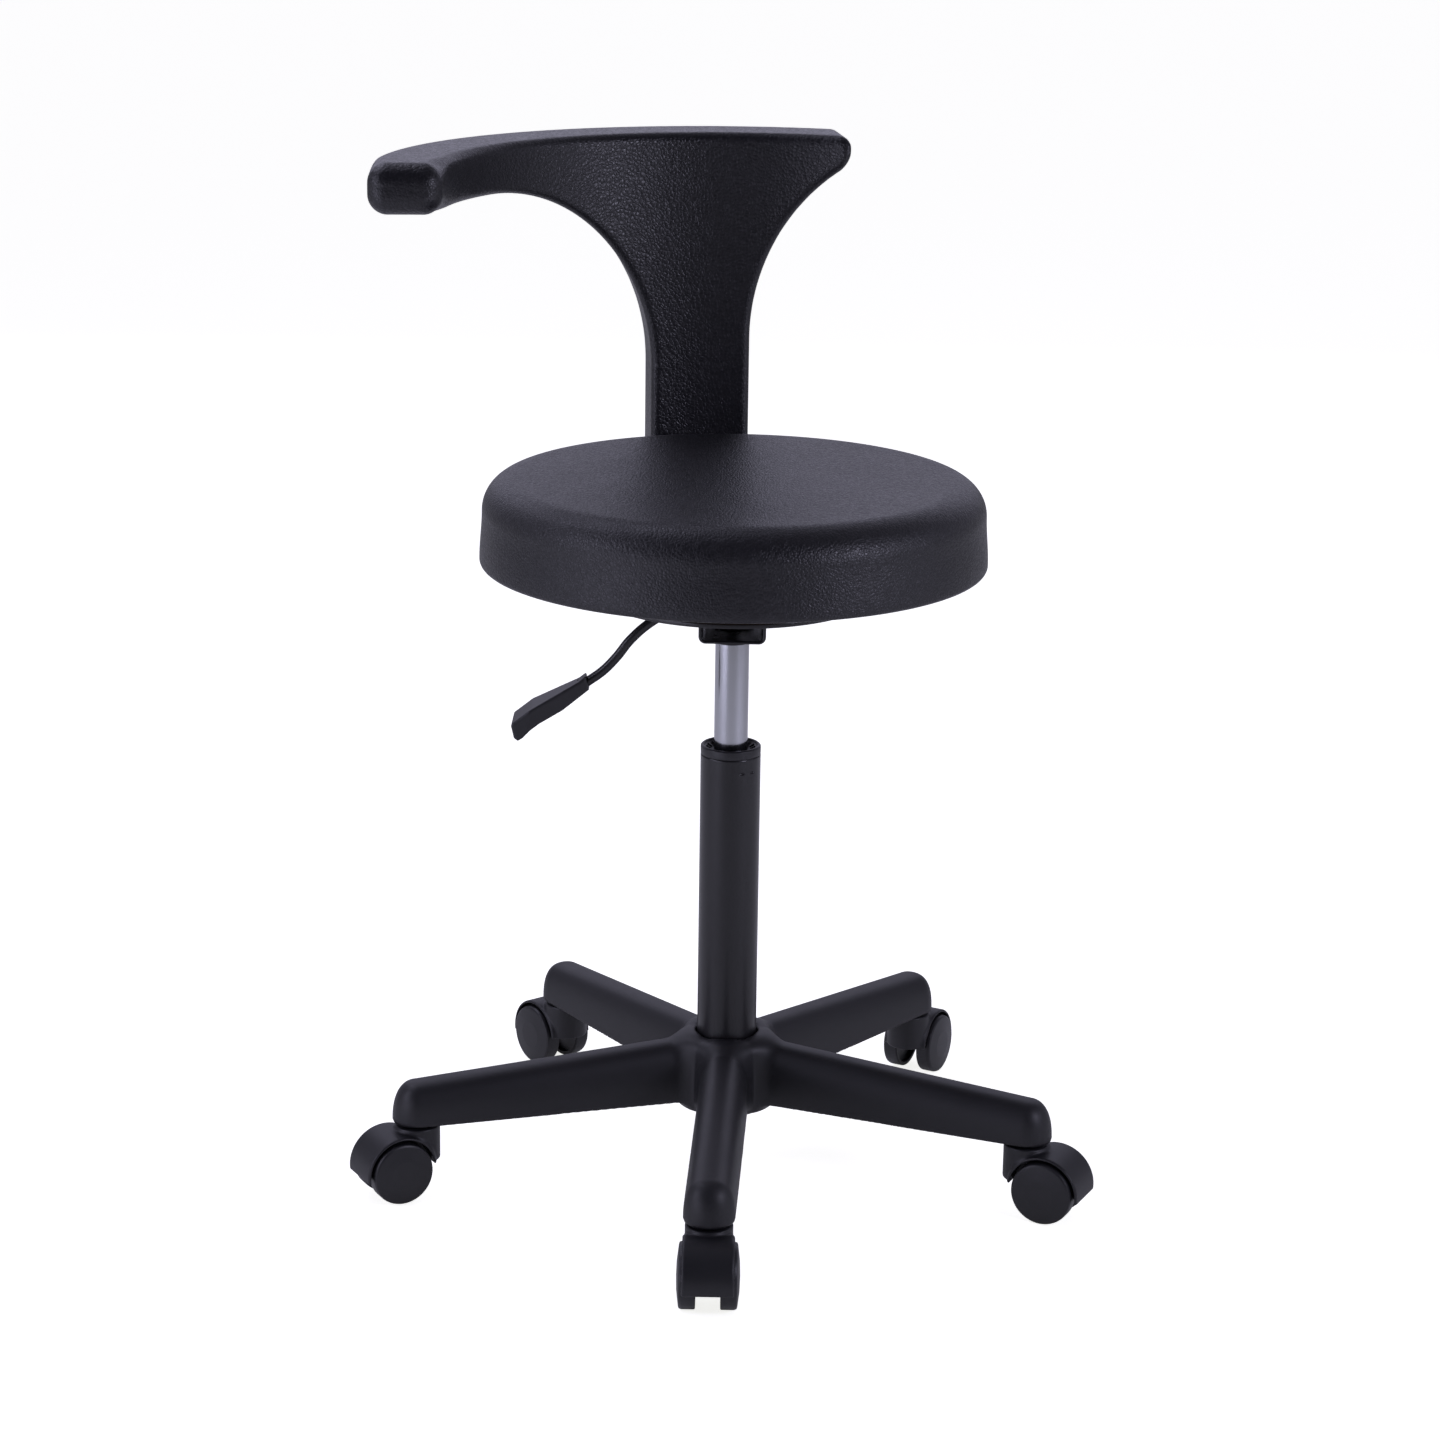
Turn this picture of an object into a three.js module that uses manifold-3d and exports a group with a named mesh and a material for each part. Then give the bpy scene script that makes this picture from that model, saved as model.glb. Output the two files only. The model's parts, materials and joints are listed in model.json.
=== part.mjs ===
// An adjustable swivel stool: a round self-skinned seat and a curved arm-and-backrest pad on a
// gas-sprung column, with a moulded five-leg base on twin-wheel castors.
// Millimetres, +Z up. The origin is on the floor, under the axis of the column. The front of the
// stool faces -Y, and -X is the side where the height lever and the long arm are.

import * as THREE from "three";
import { mergeVertices } from "three/addons/utils/BufferGeometryUtils.js";
import Module from "manifold-3d";

const wasm = await Module();
wasm.setup();

// ---------------------------------------------------------------- driving dimensions
const GAP = 0.3; // between faces that touch
const RUNNING = 0.3; // radial clearance where one piece turns or slides in another

// Castors
const CASTOR_TRAIL_DEG = [-90.2, -26.1, 62.9, 128.3, 209.9]; // way each castor trails
const WHEEL_RADIUS = 26.4;
const AXLE_RADIUS = 3;
const AXLE_BOSS = AXLE_RADIUS + 3.6;
const WEB_HALF = 9.2; // half thickness of a hood's middle web
const WHEEL_INNER = WEB_HALF + 0.6; // distance of a wheel's inner face from the middle
const WHEEL_RIM = WHEEL_INNER + 12.6; // distance of its outer rim
const WHEEL_DOME = WHEEL_RIM + 2.6; // distance of the middle of its outer face
const AXLE_HALF = WHEEL_INNER + 8.3;
const HOOD_HALF = WHEEL_INNER + 10.8;
const FENDER_INNER = WHEEL_RADIUS + 2.6;
const FENDER_OUTER = FENDER_INNER + 2.2;
const TRAIL = 22.2;
const COLLAR_RADIUS = 19;
const COLLAR_TOP = WHEEL_RADIUS + FENDER_OUTER + 3;
const HOOD_FRONT_FOOT = WHEEL_RADIUS + 4.1;
const HOOD_BACK_FOOT = WHEEL_RADIUS - 4.4;
const STEM_RADIUS = 5.5;
const STEM_FOOT = WHEEL_RADIUS + 7.6;
const STEM_COLLAR = 13;
const STEM_COLLAR_THICK = 2.4;

// Column's outer tube, which the base holds
const TUBE_RADIUS = 25;
const TUBE_WALL = 1.6;
const TUBE_TAPER = 0.8; // how much narrower the tube is at its foot
const TUBE_LENGTH = 309.2;
const TUBE_PLATE = 2.6; // thickness of the tube's floor
const SLEEVE_WALL = 1; // sleeve between the tube and the hub

// Base. Heights build up from the castors.
const LEG_COUNT = 5;
const FRONT_LEG_DEG = -92.3; // direction of the leg that points at the front
const CASTOR_CIRCLE = 266.8; // radius of the circle of castor stems
const LEG_FOOT = COLLAR_TOP + GAP + STEM_COLLAR_THICK + GAP; // flat under a leg's tip
const LEG_ROOT_FOOT = LEG_FOOT + 1.9; // a leg's lower edge at the hub
const LEG_TOP_TIP = LEG_FOOT + 34.4; // a leg's crest over the castor
const LEG_TOP_ROOT = LEG_FOOT + 51.9; // a leg's crest at the hub
const STEM_TOP = LEG_FOOT + 24.4;
const LEG_HALF_TIP = 20.6;
const LEG_HALF_ROOT = 20.8;
const LEG_WALL = 3.5;
const LEG_ROUNDNESS = 2.6; // exponent of the rounded section: 2 is an ellipse
const TIP_SOCKET_RADIUS = 12;
const HUB_TOP = LEG_FOOT + 56.1;
const HUB_FOOT = LEG_FOOT - 5.6;
const HUB_BORE = TUBE_RADIUS + GAP + SLEEVE_WALL + GAP;
const HUB_RIM = HUB_BORE + 4.4;
const HUB_BOSS = HUB_BORE + 4.9; // boss round the bore, below
const HUB_RADIUS = HUB_BORE + 14.4;
const LEG_ROOT_RADIUS = HUB_RADIUS - 7; // where a leg starts, inside the hub

// Column
const TUBE_FOOT = HUB_FOOT - 2;
const TUBE_TOP = TUBE_FOOT + TUBE_LENGTH;
const TUBE_FOOT_RADIUS = TUBE_RADIUS - TUBE_TAPER;
const TUBE_TAPER_TOP = HUB_TOP - 7.7;
const CAP_HEIGHT = 7.8;
const BUSH_LENGTH = 75; // of the guide sleeve inside the tube
const CYLINDER_RADIUS = 14;
const CYLINDER_TOP = TUBE_TOP + 115.8; // at the middle height of the seat's travel
const CYLINDER_LENGTH = 246;
const CYLINDER_BORE = CYLINDER_RADIUS - 2.5;
const CYLINDER_TOP_RADIUS = CYLINDER_RADIUS - 0.7;
const CYLINDER_TAPER = 20; // length of the tapered top
const ROD_RADIUS = 5;
const ROD_LENGTH = 270;
const ROD_BELOW_TUBE = 5.5;
const ROD_SHOULDER = ROD_RADIUS + 3.5;
const PISTON_HEIGHT = 10;
const PISTON_BELOW_ROD_TOP = 4;
const CLIP_RADIUS = ROD_RADIUS + 4;
const CLIP_THICK = 1.6;
const WASHER_RADIUS = ROD_RADIUS + 9;
const WASHER_THICK = 1.5;
const CAGE_THICK = 2.5;
const BUFFER_THICK = 6;
const BUTTON_RADIUS = 4;
const BUTTON_HEIGHT = 4.3; // that stands above the cylinder
const BUTTON_DEPTH = 6;
const BUTTON_PLAY = 0.5; // between the button and the lever's rod

// Mechanism
const CHANNEL_WIDTH = 54.6;
const CHANNEL_FRONT = -60;
const CHANNEL_BACK = 78;
const CHANNEL_FOOT = CYLINDER_TOP - 7.1;
const CHANNEL_HEIGHT = 22.2;
const CHANNEL_WALL = 2.6;
const CHANNEL_CORNER = 6;
const SOCKET_WALL = 3;
const SOCKET_LENGTH = 17;
const PLATE_RADIUS = 62;
const PLATE_THICK = 3;
const PLATE_FOOT = CHANNEL_FOOT + CHANNEL_HEIGHT + GAP;
const BOLT_SHANK = 4;
const BOLT_HEAD = 6.5;
const BOLT_HEAD_HEIGHT = 5.3;
const SEAT_BOLT_X = 18;
const SEAT_BOLT_Y = 34;

// Swinging arm
const SWING_HUB_RADIUS = 45.8;
const SWING_HUB_BORE = 22;
const SWING_WASHER_THICK = 1.5;
const SWING_PLATE_RADIUS = PLATE_RADIUS + 49.7;
const SWING_PLATE_THICK = 2.5;
const SWING_RIM_DROP = 1.7;
const FLANGE_THICK = 3.5;
const HUB_NECK = 21.6; // from the flange to the hub's top
const HUB_RECESS = 1; // how far the hub is let into the seat board
const BAR_WIDTH = 50;
const BAR_THICK = 8;
const BAR_START = PLATE_RADIUS + 6; // from the axis
const BAR_BEND = 14; // inside radius of the bend
const BACK_BOLT_REACH = [12, 30]; // from the bar's start
const BACK_DEG = 97.8; // direction of the backrest's stem

// Seat
const SEAT_RADIUS = 207.5;
const SEAT_HEIGHT = 70.7;
const SEAT_DRAFT = 2.2; // how much narrower the side is where it meets the rounded edge
const SEAT_EDGE = 26.8; // radius of the rounded upper edge
const SEAT_FOOT_EDGE = 4;
const SEAT_DISH = 2; // how far the middle of the seat lies below its rim
const SEAT_LIP = 2.5; // how far the skin reaches below the board
const BOARD_RADIUS = SEAT_RADIUS - 35.5;
const BOARD_THICK = 12;

// Backrest pad
const PAD_INNER = SEAT_RADIUS + 27.5; // radius of the face that the sitter leans on
const PAD_THICK = 60;
const PAD_OUTER = PAD_INNER + PAD_THICK;
const PAD_ABOVE_BOARD = 9.5;
const PAD_HEIGHT = 310;
const PAD_STEM_HALF = 43;
const BAR_BELOW_PAD_TOP = 110;
const ARM_HEIGHT = 41.5;
const ARM_END_DEG = 184.5; // direction in which the arm ends
const ARM_CURVE_WIDTH = 147; // quarter ellipse from the stem out to the arm
const ARM_CURVE_HEIGHT = 163;
const WING_CURVE = 187; // radius of the sweep from the stem to the wing
const WING_HEIGHT = 178; // from the start of that sweep to the pad's top
const WING_END = PAD_STEM_HALF + 81; // distance of the wing's end from the stem's middle
const WING_LOW_CORNER = 12;
const WING_TOP_CORNER = 16;

// Lever
const LEVER_ROD_RADIUS = 4;
const LEVER_HEIGHT = CYLINDER_TOP + BUTTON_HEIGHT + BUTTON_PLAY + LEVER_ROD_RADIUS; // rod's axis
const LEVER_BUSH_RADIUS = LEVER_ROD_RADIUS + 2;
const LEVER_BUSH_WIDTH = 6;
const LEVER_SLOT = LEVER_BUSH_RADIUS + 0.5; // half width of the slot in the channel's wall
const LEVER_ROUTE = [
  [7, 0],
  [-32, 0],
  [-46, -1.5],
  [-69.5, -15.4],
  [-84.4, -29.4],
  [-95, -43.4],
  [-106.2, -55.4],
  [-121, -66.4],
  [-150, -86.8],
]; // x and height above LEVER_HEIGHT
const GRIP_PROFILE = [
  [-120.5, -58.6],
  [-117.6, -70.6],
  [-139.3, -87.2],
  [-158.3, -97.6],
  [-165.7, -103],
  [-171.8, -109.4],
  [-175.8, -112],
  [-179, -109.4],
  [-181.4, -99],
  [-180.8, -97.2],
  [-165.4, -85],
  [-126.2, -63.5],
]; // x and height above LEVER_HEIGHT
const GRIP_HALF_ROOT = 6.8;
const GRIP_HALF_TIP = 19.5;
const GRIP_ROOT_X = -118;
const GRIP_KINK_X = -166;

// ---------------------------------------------------------------- finishes
const finish = (color, roughness, metalness) =>
  new THREE.MeshStandardMaterial({ color, roughness, metalness });
const SKIN = finish(0x1d1d20, 0.5, 0);
const NYLON = finish(0x202124, 0.6, 0);
const WHEEL_PLASTIC = finish(0x242528, 0.45, 0);
const BLACK_STEEL = finish(0x17171a, 0.35, 0.4);
const BRIGHT_STEEL = finish(0xc4c7ca, 0.25, 1);
const CAST_METAL = finish(0xa9abae, 0.5, 1);
const RUBBER = finish(0x101010, 0.9, 0);
const WOOD = finish(0x8a6f4d, 0.7, 0);
const WHITE_NYLON = finish(0xd8d6cc, 0.5, 0);

// ---------------------------------------------------------------- solids
const rad = THREE.MathUtils.degToRad;

// A closed geometry as a solid, for cutting and joining.
function solid(geometry) {
  const bare = geometry.index ? geometry.toNonIndexed() : geometry.clone();
  bare.deleteAttribute("normal");
  bare.deleteAttribute("uv");
  const merged = mergeVertices(bare, 1e-4);
  const made = new wasm.Manifold(
    new wasm.Mesh({
      numProp: 3,
      vertProperties: merged.attributes.position.array,
      triVerts: new Uint32Array(merged.index.array),
    }),
  );
  if (made.volume() >= 0) return made;
  const turned = new Uint32Array(merged.index.array);
  for (let i = 0; i < turned.length; i += 3) {
    [turned[i], turned[i + 1]] = [turned[i + 1], turned[i]];
  }
  return new wasm.Manifold(
    new wasm.Mesh({
      numProp: 3,
      vertProperties: merged.attributes.position.array,
      triVerts: turned,
    }),
  );
}

// A solid as a geometry.
function geometryOf(body) {
  const mesh = body.getMesh();
  const positions = new Float32Array(mesh.numVert * 3);
  for (let i = 0; i < mesh.numVert; i++) {
    positions.set(mesh.vertProperties.subarray(i * mesh.numProp, i * mesh.numProp + 3), i * 3);
  }
  const geometry = new THREE.BufferGeometry();
  geometry.setAttribute("position", new THREE.BufferAttribute(positions, 3));
  geometry.setIndex(new THREE.BufferAttribute(mesh.triVerts, 1));
  geometry.computeVertexNormals();
  return geometry;
}

// A turned solid about Z. The profile is [radius, height] points; it starts and ends on the
// axis, or it is closed here into a ring.
function turned(profile, segments = 32) {
  const points = profile.map(([r, z]) => new THREE.Vector2(r, z));
  const open = profile[0][0] === 0 && profile.at(-1)[0] === 0;
  if (!open) points.push(points[0].clone());
  return solid(new THREE.LatheGeometry(points, segments).rotateX(Math.PI / 2));
}

// A disc or washer from height low to high.
function ring(inner, outer, low, high, segments = 32) {
  if (inner === 0) return turned([[0, low], [outer, low], [outer, high], [0, high]], segments);
  return turned([[inner, low], [outer, low], [outer, high], [inner, high]], segments);
}

function box(low, high) {
  const size = high.map((value, i) => value - low[i]);
  const centre = high.map((value, i) => (value + low[i]) / 2);
  return solid(new THREE.BoxGeometry(...size).translate(...centre));
}

// An outline in X and Z, extruded along Y from y0 to y1.
function slab(outline, y0, y1, curveSegments = 8) {
  const geometry = new THREE.ExtrudeGeometry(outline, {
    depth: y1 - y0,
    bevelEnabled: false,
    curveSegments,
  });
  return solid(geometry.rotateX(Math.PI / 2).translate(0, y1, 0));
}

const placed = (body, matrix) => body.transform(matrix.elements);
const turnZ = (degrees) => new THREE.Matrix4().makeRotationZ(rad(degrees));
const shifted = (body, x, y, z) => placed(body, new THREE.Matrix4().makeTranslation(x, y, z));
const turnedTo = (body, degrees) => placed(body, turnZ(degrees));
// A solid that was made along Z, laid along Y.
const laidAlongY = (body) => placed(body, new THREE.Matrix4().makeRotationX(-Math.PI / 2));

const stool = new THREE.Group();
function add(name, body, material, group = stool) {
  const mesh = new THREE.Mesh(geometryOf(body), material);
  mesh.name = name;
  group.add(mesh);
  return mesh;
}

// ---------------------------------------------------------------- base
// A leg's section is a rounded arch. It runs along +X from the hub and closes round the castor.
function legSolid(inset, end, steps) {
  const arch = new THREE.Shape();
  const archPoints = inset === 0 ? 12 : 6;
  for (let i = 0; i <= archPoints; i++) {
    const angle = (Math.PI * i) / archPoints;
    const x = Math.sign(Math.cos(angle)) * Math.abs(Math.cos(angle)) ** (2 / LEG_ROUNDNESS);
    const y = Math.sin(angle) ** (2 / LEG_ROUNDNESS);
    if (i === 0) arch.moveTo(x, y);
    else arch.lineTo(x, y);
  }
  const geometry = new THREE.ExtrudeGeometry(arch, { depth: 1, steps, bevelEnabled: false });
  const position = geometry.attributes.position;
  const straight = 0.4; // share of the steps that lie along the straight part
  for (let i = 0; i < position.count; i++) {
    const share = position.getZ(i);
    const turn = Math.max(0, (share - straight) / (1 - straight)) * 0.97 * (Math.PI / 2);
    const tipReach = end - CASTOR_CIRCLE;
    const run = LEG_ROOT_RADIUS + (CASTOR_CIRCLE - LEG_ROOT_RADIUS) * Math.min(1, share / straight);
    const along = tipReach > 0 ? run + tipReach * Math.sin(turn)
      : LEG_ROOT_RADIUS + (end - LEG_ROOT_RADIUS) * share;
    const part = Math.min(1, (along - LEG_ROOT_RADIUS) / (CASTOR_CIRCLE - LEG_ROOT_RADIUS));
    const half = THREE.MathUtils.lerp(LEG_HALF_ROOT, LEG_HALF_TIP, part) - inset;
    const foot = THREE.MathUtils.lerp(LEG_ROOT_FOOT, LEG_FOOT, part);
    const crest = THREE.MathUtils.lerp(LEG_TOP_ROOT, LEG_TOP_TIP, part) - inset;
    const narrowing = tipReach > 0 ? Math.cos(turn) : 1;
    const lowering = 1 - 0.35 * (1 - narrowing);
    const low = inset === 0 ? foot : foot - 5;
    position.setXYZ(
      i,
      along,
      position.getX(i) * half * narrowing,
      low + (crest - low) * position.getY(i) * lowering,
    );
  }
  return solid(geometry);
}

function baseStar() {
  let star = turned([
    [HUB_BORE - 1.6, HUB_FOOT],
    [HUB_RADIUS - 3, HUB_FOOT],
    [HUB_RADIUS, HUB_FOOT + 6],
    [HUB_RADIUS, HUB_TOP - 13],
    [HUB_RADIUS - 3, HUB_TOP - 5],
    [HUB_RIM, HUB_TOP],
    [HUB_BORE - 1.6, HUB_TOP],
  ], 40);
  const leg = legSolid(0, CASTOR_CIRCLE + LEG_HALF_TIP, 10);
  const hollow = legSolid(LEG_WALL, CASTOR_CIRCLE - TIP_SOCKET_RADIUS - 4, 2);
  const hubSleeveHole = ring(0, HUB_BORE, HUB_FOOT - 5, HUB_TOP + 5, 40);
  const stemHole = ring(0, STEM_RADIUS + GAP, LEG_FOOT - 5, STEM_TOP + 1, 20);
  const rib = box(
    [HUB_RADIUS + 4, -1.4, LEG_FOOT + 5],
    [CASTOR_CIRCLE - TIP_SOCKET_RADIUS, 1.4, LEG_TOP_TIP - LEG_WALL],
  );
  for (let i = 0; i < LEG_COUNT; i++) {
    star = star.add(turnedTo(leg, legDeg(i)));
  }
  const hollowPast = box([0, -60, 0], [HUB_RADIUS + 2, 60, 200]);
  const channel = hollow.subtract(hollowPast).subtract(rib);
  for (let i = 0; i < LEG_COUNT; i++) {
    star = star.subtract(turnedTo(channel, legDeg(i)));
    star = star.subtract(turnedTo(shifted(stemHole, CASTOR_CIRCLE, 0, 0), legDeg(i)));
  }
  const undercut = ring(HUB_BOSS, HUB_RADIUS - LEG_WALL, HUB_FOOT - 5, HUB_TOP - 25, 40);
  return star.subtract(hubSleeveHole).subtract(undercut);
}

function legDeg(i) {
  return FRONT_LEG_DEG + (360 / LEG_COUNT) * i;
}

add("base_star", baseStar(), NYLON);

const tubeRadiusAt = (z) =>
  TUBE_FOOT_RADIUS
  + (TUBE_RADIUS - TUBE_FOOT_RADIUS)
  * THREE.MathUtils.clamp((z - TUBE_FOOT) / (TUBE_TAPER_TOP - TUBE_FOOT), 0, 1);
const sleeveTop = TUBE_TAPER_TOP;
add("hub_sleeve", turned([
  [tubeRadiusAt(HUB_FOOT + 1) + GAP, HUB_FOOT + 1],
  [HUB_BORE - GAP, HUB_FOOT + 1],
  [HUB_BORE - GAP, sleeveTop],
  [HUB_BORE - GAP - SLEEVE_WALL, sleeveTop],
], 40), BRIGHT_STEEL);

// ---------------------------------------------------------------- column
const tubeFloor = TUBE_FOOT + TUBE_PLATE;
add("column_tube", turned([
  [ROD_RADIUS + RUNNING, TUBE_FOOT],
  [TUBE_FOOT_RADIUS, TUBE_FOOT],
  [TUBE_RADIUS, TUBE_TAPER_TOP],
  [TUBE_RADIUS, TUBE_TOP],
  [TUBE_RADIUS - TUBE_WALL, TUBE_TOP],
  [TUBE_RADIUS - TUBE_WALL, TUBE_TAPER_TOP],
  [TUBE_FOOT_RADIUS - TUBE_WALL, tubeFloor],
  [ROD_RADIUS + RUNNING, tubeFloor],
], 40), BLACK_STEEL);

const capFoot = TUBE_TOP + GAP;
const capTop = capFoot + CAP_HEIGHT;
const bushBore = CYLINDER_RADIUS + RUNNING;
add("guide_bush", turned([
  [bushBore, TUBE_TOP - BUSH_LENGTH],
  [TUBE_RADIUS - TUBE_WALL - GAP, TUBE_TOP - BUSH_LENGTH],
  [TUBE_RADIUS - TUBE_WALL - GAP, capFoot],
  [TUBE_RADIUS, capFoot],
  [TUBE_RADIUS, capTop - 1.2],
  [TUBE_RADIUS - 1, capTop],
  [TUBE_RADIUS - 2.4, capTop],
  [bushBore + 1.2, capTop - 5.5],
  [bushBore, capTop - 5.5],
], 40), NYLON);

const washerInner = ROD_RADIUS + 1.2;
const stack = { z: tubeFloor };
function stacked(thick) {
  const low = stack.z + GAP;
  stack.z = low + thick;
  return [low, low + thick];
}
add("bearing_washer_lower", ring(washerInner, WASHER_RADIUS, ...stacked(WASHER_THICK), 24), BRIGHT_STEEL);
add("bearing_cage", ring(washerInner, WASHER_RADIUS - 0.5, ...stacked(CAGE_THICK), 24), BRIGHT_STEEL);
add("bearing_washer_upper", ring(washerInner, WASHER_RADIUS, ...stacked(WASHER_THICK), 24), BRIGHT_STEEL);
add("rubber_buffer", ring(washerInner, WASHER_RADIUS - 1, ...stacked(BUFFER_THICK), 24), RUBBER);

const rodFoot = TUBE_FOOT - ROD_BELOW_TUBE;
const rodTop = rodFoot + ROD_LENGTH;
const [shoulderLow, shoulderHigh] = stacked(3);
const clipTop = TUBE_FOOT - GAP;
const clipFoot = clipTop - CLIP_THICK;
const grooveRadius = ROD_RADIUS - 0.9;
add("piston_rod", turned([
  [0, rodFoot],
  [ROD_RADIUS, rodFoot],
  [ROD_RADIUS, clipFoot - GAP],
  [grooveRadius, clipFoot - GAP],
  [grooveRadius, clipTop],
  [ROD_RADIUS, clipTop],
  [ROD_RADIUS, shoulderLow],
  [ROD_SHOULDER, shoulderLow],
  [ROD_SHOULDER, shoulderHigh],
  [ROD_RADIUS, shoulderHigh],
  [ROD_RADIUS, rodTop],
  [0, rodTop],
], 20), BRIGHT_STEEL);
add("retaining_clip", ring(grooveRadius + GAP, CLIP_RADIUS, clipFoot, clipTop - GAP, 20), BRIGHT_STEEL);
const pistonTop = rodTop - PISTON_BELOW_ROD_TOP;
add("piston", ring(ROD_RADIUS + GAP, CYLINDER_BORE - RUNNING, pistonTop - PISTON_HEIGHT, pistonTop, 24),
  BRIGHT_STEEL);

const cylinderFoot = CYLINDER_TOP - CYLINDER_LENGTH;
const headWall = 3;
const buttonHole = BUTTON_RADIUS + RUNNING;
add("gas_cylinder", turned([
  [ROD_RADIUS + RUNNING, cylinderFoot],
  [CYLINDER_RADIUS, cylinderFoot],
  [CYLINDER_RADIUS, CYLINDER_TOP - CYLINDER_TAPER],
  [CYLINDER_TOP_RADIUS, CYLINDER_TOP],
  [buttonHole, CYLINDER_TOP],
  [buttonHole, CYLINDER_TOP - headWall],
  [CYLINDER_BORE, CYLINDER_TOP - headWall],
  [CYLINDER_BORE, cylinderFoot + headWall],
  [ROD_RADIUS + RUNNING, cylinderFoot + headWall],
], 36), BRIGHT_STEEL);
const buttonTop = CYLINDER_TOP + BUTTON_HEIGHT;
add("release_button", turned([
  [0, CYLINDER_TOP - BUTTON_DEPTH],
  [BUTTON_RADIUS, CYLINDER_TOP - BUTTON_DEPTH],
  [BUTTON_RADIUS, buttonTop - 1],
  [BUTTON_RADIUS - 1.6, buttonTop],
  [0, buttonTop],
], 20), BRIGHT_STEEL);

// ---------------------------------------------------------------- mechanism
const channelHalf = CHANNEL_WIDTH / 2;
const channelTop = CHANNEL_FOOT + CHANNEL_HEIGHT;
const socketFoot = CYLINDER_TOP - SOCKET_LENGTH;
const socketRadius = CYLINDER_RADIUS + GAP + SOCKET_WALL;

// The channel's section, inset by its wall for the inside.
function traySection(inset, top) {
  const half = channelHalf - inset;
  const foot = CHANNEL_FOOT + inset;
  const corner = CHANNEL_CORNER - inset;
  const shape = new THREE.Shape();
  shape.moveTo(-half, top);
  shape.lineTo(-half, foot + corner);
  shape.absarc(-half + corner, foot + corner, corner, Math.PI, 1.5 * Math.PI);
  shape.absarc(half - corner, foot + corner, corner, 1.5 * Math.PI, 2 * Math.PI);
  shape.lineTo(half, top);
  return shape;
}

function mechanismChannel() {
  const outside = slab(traySection(0, channelTop), CHANNEL_FRONT, CHANNEL_BACK, 4);
  const inside = slab(traySection(CHANNEL_WALL, channelTop + 5), CHANNEL_FRONT - 5, CHANNEL_BACK + 5, 4);
  const leverSlot = box(
    [-channelHalf - 5, -LEVER_SLOT, LEVER_HEIGHT - LEVER_SLOT],
    [-channelHalf + CHANNEL_WALL + 2, LEVER_SLOT, channelTop + 5],
  );
  const socketHole = ring(0, socketRadius + GAP, CHANNEL_FOOT - 5, CHANNEL_FOOT + CHANNEL_WALL + 1, 28);
  return outside.subtract(inside).subtract(leverSlot).subtract(socketHole);
}
add("mechanism_channel", mechanismChannel(), BLACK_STEEL);

add("taper_socket", turned([
  [CYLINDER_RADIUS + GAP, socketFoot],
  [socketRadius, socketFoot],
  [socketRadius, CYLINDER_TOP - 1],
  [CYLINDER_TOP_RADIUS + 2 * GAP, CYLINDER_TOP - 1],
  [CYLINDER_RADIUS + GAP, CYLINDER_TOP - CYLINDER_TAPER],
], 28), BLACK_STEEL);

const plateTop = PLATE_FOOT + PLATE_THICK;
const seatBoltPlaces = [
  [-SEAT_BOLT_X, -SEAT_BOLT_Y],
  [SEAT_BOLT_X, -SEAT_BOLT_Y],
  [SEAT_BOLT_X, SEAT_BOLT_Y],
  [-SEAT_BOLT_X, SEAT_BOLT_Y],
];
function drilled(body, places, low, high) {
  return places.reduce(
    (cut, [x, y]) => cut.subtract(shifted(ring(0, BOLT_SHANK + GAP, low, high, 12), x, y, 0)),
    body,
  );
}
add("mounting_plate", drilled(
  ring(SWING_HUB_BORE, PLATE_RADIUS, PLATE_FOOT, plateTop, 36),
  seatBoltPlaces, PLATE_FOOT - 1, plateTop + 1,
), BLACK_STEEL);

// ---------------------------------------------------------------- swing bearing
const lowerWasherFoot = plateTop + GAP;
const webFoot = lowerWasherFoot + SWING_WASHER_THICK + GAP;
const webTop = webFoot + SWING_PLATE_THICK;
const upperWasherFoot = webTop + GAP;
const flangeFoot = upperWasherFoot + SWING_WASHER_THICK + GAP;
const flangeTop = flangeFoot + FLANGE_THICK;
const hubTop = flangeTop + HUB_NECK;
const boardFoot = hubTop - HUB_RECESS + GAP;
const swingBore = SWING_HUB_RADIUS + RUNNING;
add("swing_washer_lower",
  ring(swingBore, PLATE_RADIUS - 1, lowerWasherFoot, webFoot - GAP, 36), WHITE_NYLON);
add("swing_washer_upper",
  ring(swingBore, PLATE_RADIUS - 1, upperWasherFoot, flangeFoot - GAP, 36), WHITE_NYLON);
add("swing_hub", drilled(
  turned([
    [SWING_HUB_BORE, lowerWasherFoot],
    [SWING_HUB_RADIUS, lowerWasherFoot],
    [SWING_HUB_RADIUS, flangeFoot],
    [PLATE_RADIUS, flangeFoot],
    [PLATE_RADIUS, flangeTop],
    [SWING_HUB_RADIUS, flangeTop],
    [SWING_HUB_RADIUS, hubTop],
    [SWING_HUB_BORE, hubTop],
  ], 36),
  seatBoltPlaces, lowerWasherFoot - 1, hubTop + 1,
), CAST_METAL);

const backBoltPlaces = BACK_BOLT_REACH.map((reach) => [
  (BAR_START + reach) * Math.cos(rad(BACK_DEG)),
  (BAR_START + reach) * Math.sin(rad(BACK_DEG)),
]);
add("swing_plate", drilled(
  turned([
    [swingBore, webFoot],
    [SWING_PLATE_RADIUS - SWING_PLATE_THICK, webFoot],
    [SWING_PLATE_RADIUS - SWING_PLATE_THICK, webFoot - SWING_RIM_DROP],
    [SWING_PLATE_RADIUS, webFoot - SWING_RIM_DROP],
    [SWING_PLATE_RADIUS, webTop - 1],
    [SWING_PLATE_RADIUS - 1.2, webTop],
    [swingBore, webTop],
  ], 48),
  backBoltPlaces, webFoot - 1, webTop + 1,
), BLACK_STEEL);

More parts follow.
